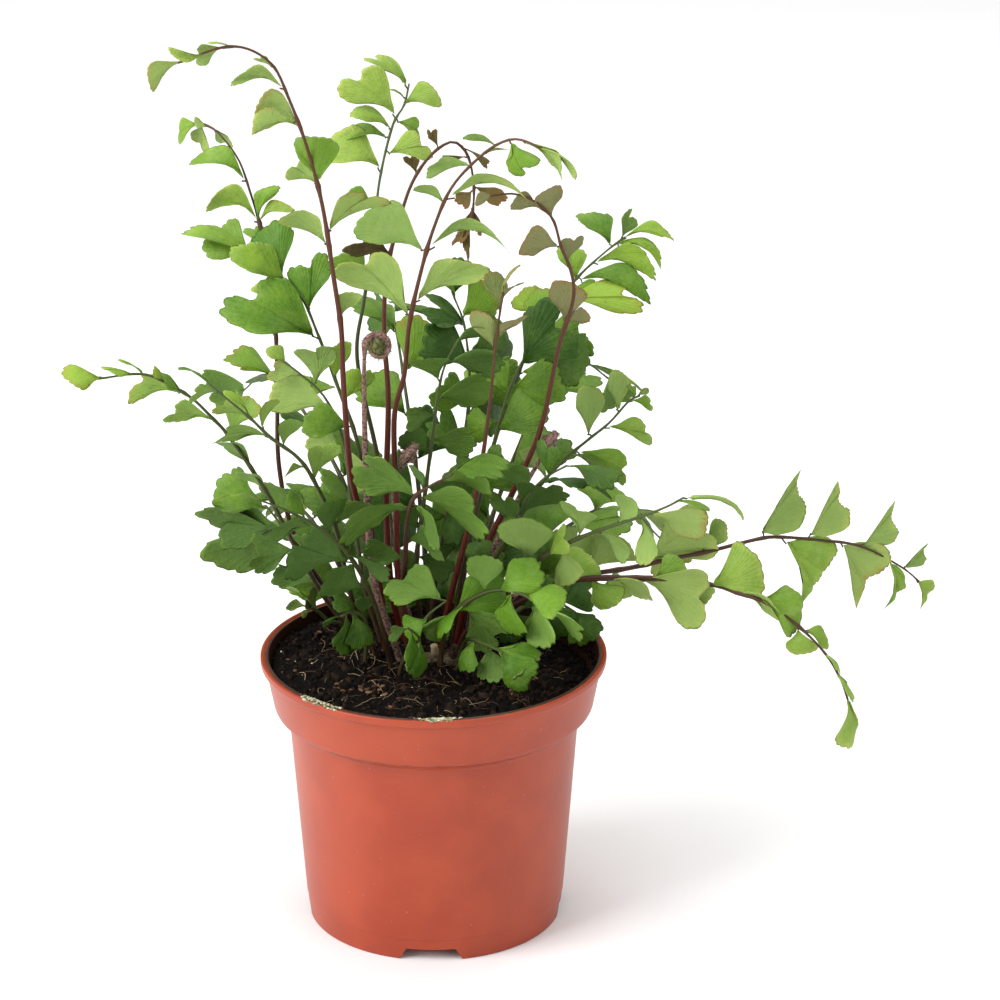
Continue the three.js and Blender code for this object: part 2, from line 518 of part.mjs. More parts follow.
function potWall() {
  const { height, rimRadius, lipWidth, lipRound, lipStep, bandRadius, bandFoot } = POT;
  const { shoulderHeight, shoulderRadius, innerRise, footRadius, wall, draft } = POT;
  const { floorRise, floorThickness, discRadius, discSlope } = POT;
  const bandTop = height - POT.lipHeight;
  const bandBottom = height - POT.bandHeight;
  const floorTop = floorRise + floorThickness;
  return solid(turned([
    [0, 0], [discRadius, 0], [discRadius + discSlope, floorRise], [footRadius - wall - draft, floorRise],
    [footRadius - wall, 0], [footRadius, 0], [shoulderRadius, shoulderHeight], [bandFoot, bandBottom],
    [bandRadius, bandTop - lipStep], [rimRadius, bandTop], [rimRadius, height - lipRound],
    [rimRadius - lipRound, height], [rimRadius - lipWidth, height], [bandRadius - wall, bandTop - lipStep],
    [insideRadius(bandBottom), bandBottom + innerRise], [shoulderRadius - wall, shoulderHeight + innerRise],
    [footRadius - wall + draft, floorTop], [discRadius + discSlope - floorThickness, floorTop],
    [discRadius - floorThickness, floorThickness], [0, floorThickness],
  ], POT.sides));
}

// A notch through the foot ring, where the floor drains.
function notch(angle) {
  const { footWidth, topWidth, height, below, inset, depth } = NOTCH;
  const shape = new THREE.Shape([
    new THREE.Vector2(-footWidth / 2, -below), new THREE.Vector2(footWidth / 2, -below),
    new THREE.Vector2(topWidth / 2, height), new THREE.Vector2(-topWidth / 2, height),
  ]);
  const block = new THREE.ExtrudeGeometry(shape, { depth, bevelEnabled: false });
  block.rotateX(Math.PI / 2).translate(0, inset - POT.footRadius, 0).rotateZ(rad(angle));
  return solid(block);
}

function drainHole(angle) {
  const hole = new THREE.CylinderGeometry(DRAIN.radius, DRAIN.radius, DRAIN.depth, DRAIN.sides);
  hole.rotateX(Math.PI / 2).translate(DRAIN.ring, 0, POT.floorRise).rotateZ(rad(angle));
  return solid(hole);
}

function pot() {
  let body = potWall();
  for (let i = 0; i < NOTCH.count; i += 1) {
    body = body.subtract(notch(NOTCH.firstAngle + (360 / NOTCH.count) * i));
  }
  for (let i = 0; i < DRAIN.count; i += 1) {
    body = body.subtract(drainHole((360 / DRAIN.count) * (i + 0.5)));
  }
  return body;
}

// The soil's surface: highest at the front left, with low lumps.
function soilHeight(x, y) {
  const { level, fallToRight, fallToBack, lump, lumpLength } = SOIL;
  const round = Math.sin(x / lumpLength + 1) * Math.cos(y / lumpLength);
  const slanting = Math.sin((x / 2 + y) / lumpLength);
  return level - fallToRight * x - fallToBack * y + lump * (round + slanting / 2);
}

// The filling's shape: level on top at first, then each point of the top is set to its height and,
// at the wall, to the pot's width there.
function soilFill() {
  const { wall, innerRise, footRadius, discRadius, discSlope, floorRise, floorThickness } = POT;
  const floorTop = floorRise + floorThickness + GAP;
  const bandBottom = POT.height - POT.bandHeight;
  const step = innerRise + GAP;
  const geometry = turned([
    [0, floorThickness + GAP], [discRadius - floorThickness - GAP, floorThickness + GAP],
    [discRadius + discSlope - floorThickness - GAP, floorTop], [footRadius - wall - GAP, floorTop],
    [POT.shoulderRadius - wall - GAP, POT.shoulderHeight + step],
    [insideRadius(bandBottom) - GAP, bandBottom + step], [insideRadius(SOIL.level) - GAP, SOIL.level],
    ...SOIL.rings.map((radius) => [radius, SOIL.level]), [0, SOIL.level],
  ], POT.sides);
  const places = geometry.getAttribute('position');
  const innerRing = (SOIL.rings[0] + insideRadius(SOIL.level)) / 2;
  for (let i = 0; i < places.count; i += 1) {
    const [x, y, z] = [places.getX(i), places.getY(i), places.getZ(i)];
    if (z > (SOIL.level + bandBottom) / 2) {
      const top = soilHeight(x, y);
      const radius = Math.hypot(x, y);
      const spread = radius > innerRing ? (insideRadius(top) - GAP) / radius : 1;
      places.setXYZ(i, x * spread, y * spread, top);
    }
  }
  return solid(geometry);
}

// --- Stems -------------------------------------------------------------------------------------

// The stem's middle line: straight up through its hole in the soil, then through its points.
function stemCurve({ root: [x, y], lean, stem, path, coil }) {
  const surface = soilHeight(x, y);
  const depth = (i) => y + lean * ((i + 1) / stem.length) ** STEM.leanPower;
  const above = path
    ? path.map((point) => new THREE.Vector3(...point))
    : stem.map(([px, py], i) => spot(px, py, depth(i)));
  if (coil) {
    above.push(coilPoints(coil)[0]);
  }
  return new THREE.CatmullRomCurve3([
    new THREE.Vector3(x, y, surface - STEM.rootDepth), new THREE.Vector3(x, y, surface), ...above,
  ], false, 'catmullrom', STEM.tension);
}

// Points evenly along a line of points. A bend counts as more length, by its angle in radians.
function evenly(line, count, bendLength = 0) {
  const lengths = [0];
  for (let i = 1; i < line.length; i += 1) {
    const step = line[i].clone().sub(line[i - 1]);
    const bend = i > 1 ? step.angleTo(line[i - 1].clone().sub(line[i - 2])) : 0;
    lengths.push(lengths[i - 1] + step.length() + bendLength * bend);
  }
  const total = lengths[lengths.length - 1];
  let at = 0;
  const points = [];
  for (let i = 0; i < count; i += 1) {
    const wanted = (total * i) / (count - 1);
    while (at < line.length - 2 && lengths[at + 1] < wanted) {
      at += 1;
    }
    const share = (wanted - lengths[at]) / (lengths[at + 1] - lengths[at]);
    points.push(line[at].clone().lerp(line[at + 1], Math.min(share, 1)));
  }
  return { points, total };
}

// The stem's middle line in straight steps, shorter where it bends.
function stemLine(plant) {
  const fine = stemCurve(plant).getPoints(STEM.fineness);
  const { total } = evenly(fine, 2, STEM.bendLength);
  return evenly(fine, Math.round(total / STEM.step) + 1, STEM.bendLength).points;
}

// The stem's radius, from the soil at 0 to the tip at 1.
function stemRadius({ girth, coil }, along) {
  return THREE.MathUtils.lerp(girth / 2, coil ? COIL.outerThickness : STEM.tipRadius, along ** STEM.taper);
}

function stemSolid(plant, extra) {
  const points = stemLine(plant);
  const last = points.length - 1;
  const radii = points.map((_, i) => stemRadius(plant, i / last) + extra);
  points[0].z -= extra;
  return rod(points, radii, plant.coil ? COIL.sides : STEM.sides);
}

// --- Leaflets ----------------------------------------------------------------------------------

// Where a leaflet grows and where its tip is, with the stem's direction there.
function readLeaflet(samples, [rootX, rootY, tipX, tipY, roll = 0, wide = 1, bow]) {
  const apart = samples.map((place) => seenApart(place, rootX, rootY));
  const at = Math.min(Math.max(apart.indexOf(Math.min(...apart)), 1), samples.length - 2);
  const root = samples[at].clone();
  const ahead = samples[at + 1].clone().sub(samples[at - 1]).normalize();
  return { root, ahead, tip: spot(tipX, tipY, root.y), roll, wide, bow, isSeen: true };
}

// Leaflets set by rule: left and right in turn, the last one at the stem's tip.
function spreadLeaflets(samples, [start, count, length], draw) {
  const leaflets = [];
  for (let i = 0; i < count; i += 1) {
    const share = i / (count - 1);
    const along = THREE.MathUtils.lerp(start, 1, share);
    const at = Math.min(Math.round(along * (samples.length - 1)), samples.length - 2);
    const ahead = samples[at + 1].clone().sub(samples[at - 1]).normalize();
    const across = ahead.clone().cross(ZENITH).normalize().multiplyScalar(i % 2 ? 1 : -1);
    const forward = i === count - 1 ? SPREAD.tipForward : SPREAD.forward + SPREAD.moreForward * share;
    const upward = SPREAD.upward + SPREAD.upwardDraw * draw();
    const heading = across.addScaledVector(ahead, forward).addScaledVector(ZENITH, upward);
    const reach = length * (1 - SPREAD.shorter * share) * (1 + SPREAD.lengthDraw * draw());
    const root = samples[at].clone();
    const tip = root.clone().addScaledVector(heading.normalize(), reach);
    leaflets.push({ root, ahead, tip, roll: 0, wide: 1, isSeen: false });
  }
  return leaflets;
}

function leafletsOf(frond, draw) {
  const samples = evenly(stemLine(frond), STEM.samples).points;
  const leaflets = frond.spread
    ? spreadLeaflets(samples, frond.spread, draw)
    : frond.leaves.map((leaf) => readLeaflet(samples, leaf));
  const { tilt, width, sickles = 0, bow = 0 } = frond;
  return leaflets.map((leaflet, i) => ({
    ...leaflet,
    width: width * leaflet.wide,
    bow: leaflet.bow ?? bow,
    sway: tilt + SWAY * draw(),
    isSickle: i >= leaflets.length - sickles,
  }));
}

// The blade's own axes: along to the tip, across towards the frond's tip, and out of its face.
// A swing about the stem takes the tip nearer or farther, and leaves it where the picture has it.
function bladeAxes({ root, tip, ahead, roll, sway, isSeen }, swing) {
  const along = tip.clone().sub(root);
  const slope = THREE.MathUtils.clamp(sway + swing, -STEEPEST, STEEPEST);
  const aside = ahead.clone().cross(along);
  if (isSeen) {
    aside.copy(LOOK.clone().multiplyScalar(aside.dot(LOOK)));
  }
  along.addScaledVector(aside, Math.tan(rad(slope)));
  const length = along.length();
  along.normalize();
  let across = ahead.clone().addScaledVector(along, -ahead.dot(along));
  if (across.length() < BLADE.leastAcross) {
    across = LOOK.clone().cross(along);
  }
  across.normalize().applyAxisAngle(along, rad(roll));
  const out = along.clone().cross(across);
  return { along, across, out, length };
}

// A leaflet's blade: arched and bowed from root to tip, its broad side bent down at the edge.
function blade(leaflet, swing, thickness) {
  const { along, across, out, length } = bladeAxes(leaflet, swing);
  const fan = length < BLADE.small ? SMALL_FAN : FAN;
  const { points, faces } = leaflet.isSickle ? SICKLE : fan;
  const upward = out.z < 0 ? -1 : 1;
  const positions = [];
  for (const face of [1, -1]) {
    for (const [u, v] of points) {
      const middle = 4 * u * (1 - u);
      const sideways = v * leaflet.width;
      const rise = upward * (BLADE.arch * middle - BLADE.cup * sideways * sideways);
      const place = leaflet.root.clone()
        .addScaledVector(along, length * u)
        .addScaledVector(across, length * (sideways + leaflet.bow * middle))
        .addScaledVector(out, length * rise + (face * thickness) / 2);
      positions.push(place.x, place.y, place.z);
    }
  }
  const count = points.length;
  const triangles = [];
  for (const [a, b, c] of faces) {
    triangles.push(a, b, c, count + a, count + c, count + b);
  }
  for (let i = 0; i < count; i += 1) {
    const next = (i + 1) % count;
    triangles.push(i, count + i, count + next, i, count + next, next);
  }
  return solid(indexed(positions, triangles));
}

// --- Fiddleheads and the rhizome ---------------------------------------------------------------

// The coil's middle line, from the stem's top round and in to its middle.
function coilPoints({ middle: [px, py, depth], radius, edgeOn }) {
  const middle = spot(px, py, depth);
  const leaning = RIGHT.clone().multiplyScalar(Math.cos(rad(COIL.lean)))
    .addScaledVector(UP, Math.sin(rad(COIL.lean)));
  const upward = edgeOn ? leaning : UP;
  const onward = edgeOn ? LOOK : RIGHT;
  const points = [];
  for (let i = 0; i <= COIL.steps; i += 1) {
    const share = i / COIL.steps;
    const angle = Math.PI - 2 * Math.PI * COIL.turns * share;
    const reach = THREE.MathUtils.lerp(radius, COIL.innerRadius, share);
    points.push(middle.clone()
      .addScaledVector(onward, reach * Math.cos(angle))
      .addScaledVector(upward, reach * Math.sin(angle)));
  }
  return points;
}

// A fiddlehead: its stem runs on into the coil.
function fiddleheadSolid(plant) {
  const line = stemLine(plant);
  const last = line.length - 1;
  const coil = coilPoints(plant.coil);
  const stemRadii = line.map((_, i) => stemRadius(plant, i / last));
  const coilRadii = coil.map((_, i) => (
    THREE.MathUtils.lerp(COIL.outerThickness, COIL.innerThickness, i / COIL.steps)
  ));
  return rod([...line, ...coil.slice(1)], [...stemRadii, ...coilRadii.slice(1)], COIL.sides);
}

// The creeping stem that the fronds grow from: its back shows above the soil, with two old stubs.
function rhizomeSolid(extra) {
  const { points, radius, stubs } = RHIZOME;
  const line = points.map(([x, y]) => new THREE.Vector3(x, y, soilHeight(x, y) + RHIZOME.rise));
  line[0].x -= extra;
  line[line.length - 1].x += extra;
  let body = rod(line, line.map(() => radius + extra), RHIZOME.sides);
  for (const [at, leanX, leanY] of stubs) {
    const foot = line[at].clone();
    const top = foot.clone().add(new THREE.Vector3(leanX, leanY, RHIZOME.stubHeight));
    const thickness = RHIZOME.stubRadius + extra;
    body = body.add(rod([foot, top], [thickness, thickness], RHIZOME.sides));
  }
  return body;
}

// --- Keeping clear -----------------------------------------------------------------------------

const obstacles = [];

function addObstacle(body, owner, kind) {
  const { min, max } = body.boundingBox();
  obstacles.push({ body, min, max, owner, kind });
}

function isClear(body, ignored) {
  const { min, max } = body.boundingBox();
  return obstacles.every((other) => ignored(other)
    || [0, 1, 2].some((axis) => other.min[axis] > max[axis] || other.max[axis] < min[axis])
    || other.body.intersect(body).isEmpty());
}

// The first swing about the stem that keeps a leaflet clear of all other pieces, and of its own
// frond's other leaflets if that can be.
function freeSwing(leaflet, owner) {
  const thickness = BLADE.thickness + 2 * BLADE.clearance;
  const ownStem = (other) => other.owner === owner && other.kind === 'stem';
  const ownFrond = (other) => other.owner === owner;
  for (const ignored of [ownStem, ownFrond]) {
    const swing = SWINGS.find((angle) => isClear(blade(leaflet, angle, thickness), ignored));
    if (swing !== undefined) {
      return swing;
    }
  }
  return null;
}

// A frond: its stem with every leaflet that has room.
function frondSolid(frond, index) {
  let body = stemSolid(frond, 0);
  for (const leaflet of leafletsOf(frond, draws(index + 1))) {
    const swing = freeSwing(leaflet, frond.name);
    if (swing !== null) {
      const grown = blade(leaflet, swing, BLADE.thickness);
      body = body.add(grown);
      addObstacle(grown, frond.name, 'blade');
    }
  }
  return body;
}

// --- The whole plant ---------------------------------------------------------------------------

function soilWithHoles() {
  let body = soilFill().subtract(rhizomeSolid(GAP));
  for (const plant of [...FRONDS, ...FIDDLEHEADS]) {
    body = body.subtract(stemSolid(plant, GAP));
  }
  return body;
}

const plant = new THREE.Group();
const potBody = pot();
const soilBody = soilWithHoles();
const rhizomeBody = rhizomeSolid(0);
const fiddleheads = FIDDLEHEADS.map((head) => fiddleheadSolid(head));
addObstacle(potBody, 'pot', 'pot');
addObstacle(soilBody, 'soil', 'soil');
addObstacle(rhizomeBody, 'rhizome', 'stem');
FIDDLEHEADS.forEach((head, i) => addObstacle(fiddleheads[i], head.name, 'stem'));
FRONDS.forEach((frond) => addObstacle(stemSolid(frond, BLADE.clearance), frond.name, 'stem'));

plant.add(mesh('pot', potBody, 'terracotta', 0.45));
plant.add(mesh('soil', soilBody, 'soil', 0.95));
plant.add(mesh('rhizome', rhizomeBody, 'bark', 0.8));
FIDDLEHEADS.forEach((head, i) => plant.add(mesh(head.name, fiddleheads[i], 'bark', 0.7)));
FRONDS.forEach((frond, i) => plant.add(mesh(frond.name, frondSolid(frond, i), frond.hue, 0.6)));

export default plant;
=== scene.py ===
"""A fern in a plastic nursery pot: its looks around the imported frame.

Lengths are in millimetres until a mesh is made. +Z is up, and -Y is towards the photograph's viewer.
"""

import math
import random

import bmesh
import bpy
import numpy as np
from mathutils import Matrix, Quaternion, Vector, noise
from mathutils.kdtree import KDTree


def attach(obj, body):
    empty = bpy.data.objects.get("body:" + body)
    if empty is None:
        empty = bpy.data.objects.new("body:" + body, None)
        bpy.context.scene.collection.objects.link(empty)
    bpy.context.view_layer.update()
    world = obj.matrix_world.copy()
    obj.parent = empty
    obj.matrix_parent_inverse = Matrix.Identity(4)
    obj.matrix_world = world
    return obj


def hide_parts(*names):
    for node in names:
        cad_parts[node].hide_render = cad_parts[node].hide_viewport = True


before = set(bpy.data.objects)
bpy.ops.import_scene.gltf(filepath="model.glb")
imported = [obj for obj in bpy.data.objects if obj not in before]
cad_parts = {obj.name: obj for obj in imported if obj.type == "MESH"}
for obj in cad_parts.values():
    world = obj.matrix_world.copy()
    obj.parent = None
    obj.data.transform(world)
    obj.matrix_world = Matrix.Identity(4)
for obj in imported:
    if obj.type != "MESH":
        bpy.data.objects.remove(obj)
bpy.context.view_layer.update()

MM = 0.001

# --- Driving dimensions, the same as the solids' ------------------------------------------------

POT = {
    'height': 97, 'rim_radius': 60, 'lip_height': 2.6, 'lip_width': 2.8, 'lip_step': 0.8,
    'band_radius': 58.3, 'band_foot': 55.3, 'band_height': 19, 'shoulder_height': 75.3,
    'shoulder_radius': 50.5, 'inner_rise': 0.8, 'foot_radius': 44.5, 'wall': 1.5, 'draft': 0.4,
    'floor_rise': 5, 'floor_thickness': 1.4, 'disc_radius': 17, 'disc_slope': 2,
}
NOTCH = {
    'count': 4, 'top_width': 17, 'foot_width': 23, 'height': 4.4, 'first_angle': -1,
    'below': 1, 'inset': 4.5, 'depth': 8,
}
DRAIN = {'count': 6, 'radius': 4, 'ring': 31, 'depth': 8}
GAP = 0.35
SOIL = {'level': 89.6, 'fall_to_right': 0.08, 'fall_to_back': 0.01, 'lump': 1.1, 'lump_length': 6}
STEM = {
    'step': 30, 'bend_length': 35, 'tip_radius': 0.6, 'taper': 0.8, 'root_depth': 12,
    'tension': 0.5, 'fineness': 480, 'samples': 120, 'lean_power': 1.3,
}
BLADE = {'thickness': 0.62, 'arch': 0.11, 'cup': 0.35, 'small': 26, 'least_across': 0.3}
SPREAD = {
    'forward': 0.45, 'more_forward': 0.3, 'tip_forward': 6, 'upward': 0.1, 'upward_draw': 0.15,
    'shorter': 0.3, 'length_draw': 0.1,
}
SWAY = 10
# The rule of the draws: the last state times a number, plus another, within a range.
SOLID_DRAWS = {'times': 1664525, 'plus': 1013904223, 'range': 2 ** 32}
SWINGS = [0, 14, -14, 28, -28, 42, -42, 56, -56]
STEEPEST = 58
# A leaflet most of whose corners are farther than this from the solid's points isn't on the solid.
FARTHEST_FIT = 0.5
COIL = {'turns': 1.2, 'steps': 12, 'inner_radius': 1.9, 'outer_thickness': 1.1, 'lean': 51}
RHIZOME = {
    'points': [[-3, 6.5], [1, 7], [6, 6], [11, 6.5]], 'radius': 2.4, 'rise': 0.6,
    'stubs': [[1, -1, -2], [2, 1.5, -1]], 'stub_radius': 1.6, 'stub_height': 6,
}
# The corners of a solid leaflet's outline, [along, across] as fractions of its length.
CAD_FAN = [[0.38, -0.02], [0.68, -0.14], [1, 0], [0.86, 0.2], [0.64, 0.38], [0.44, 0.4], [0.22, 0.13]]
CAD_SMALL_FAN = [[0.45, -0.08], [1, 0], [0.84, 0.28], [0.52, 0.42], [0.24, 0.14]]
CAD_SICKLE = [[0.5, 0.03], [1, 0], [0.72, 0.13], [0.48, 0.34], [0.2, 0.33]]

# The viewpoint from which the fronds' points were read: a square picture, its sides 1000 long,
# taken with a long lens. A point of it, with a depth, is a place in space.
VIEW = {'side': 1000, 'middle': 500, 'focal': 3750, 'distance': 1280, 'pitch': 20.7, 'aim': [23, 0, 153]}
# How many times the guess at a place on the soil is made better.
SPOT_ROUNDS = 6

# --- The fronds ---------------------------------------------------------------------------------
# hue:    the leaflets' kind, a name in TOOTHING
# look:   their colours, a name in LEAF_LOOKS, where it isn't the hue's
# girth:  the stem's thickness at the soil, in mm
# width:  how wide the leaflets are, against the usual one
# bow:    how far the leaflets curve back to the frond's tip, as a fraction of their length
# sickles: how many of the last leaflets taper to a long tip; the others are fans
# root:   where the stem leaves the soil, [x, y] in mm
# lean:   how much farther from the viewer the stem's tip is than its root, in mm
# tilt:   how far the frond's plane is turned about its stem, in degrees
# stem:   points along the stem, [picture x, picture y]
# path:   points along a stem at the back, [x, y, z] in mm
# leaves: leaflets, [picture x and y of the root, picture x and y of the tip] and, where they have
#         their own, a roll in degrees, a width against the frond's and a bow
# spread: leaflets set by rule, [fraction of the stem where they start, count, length in mm]

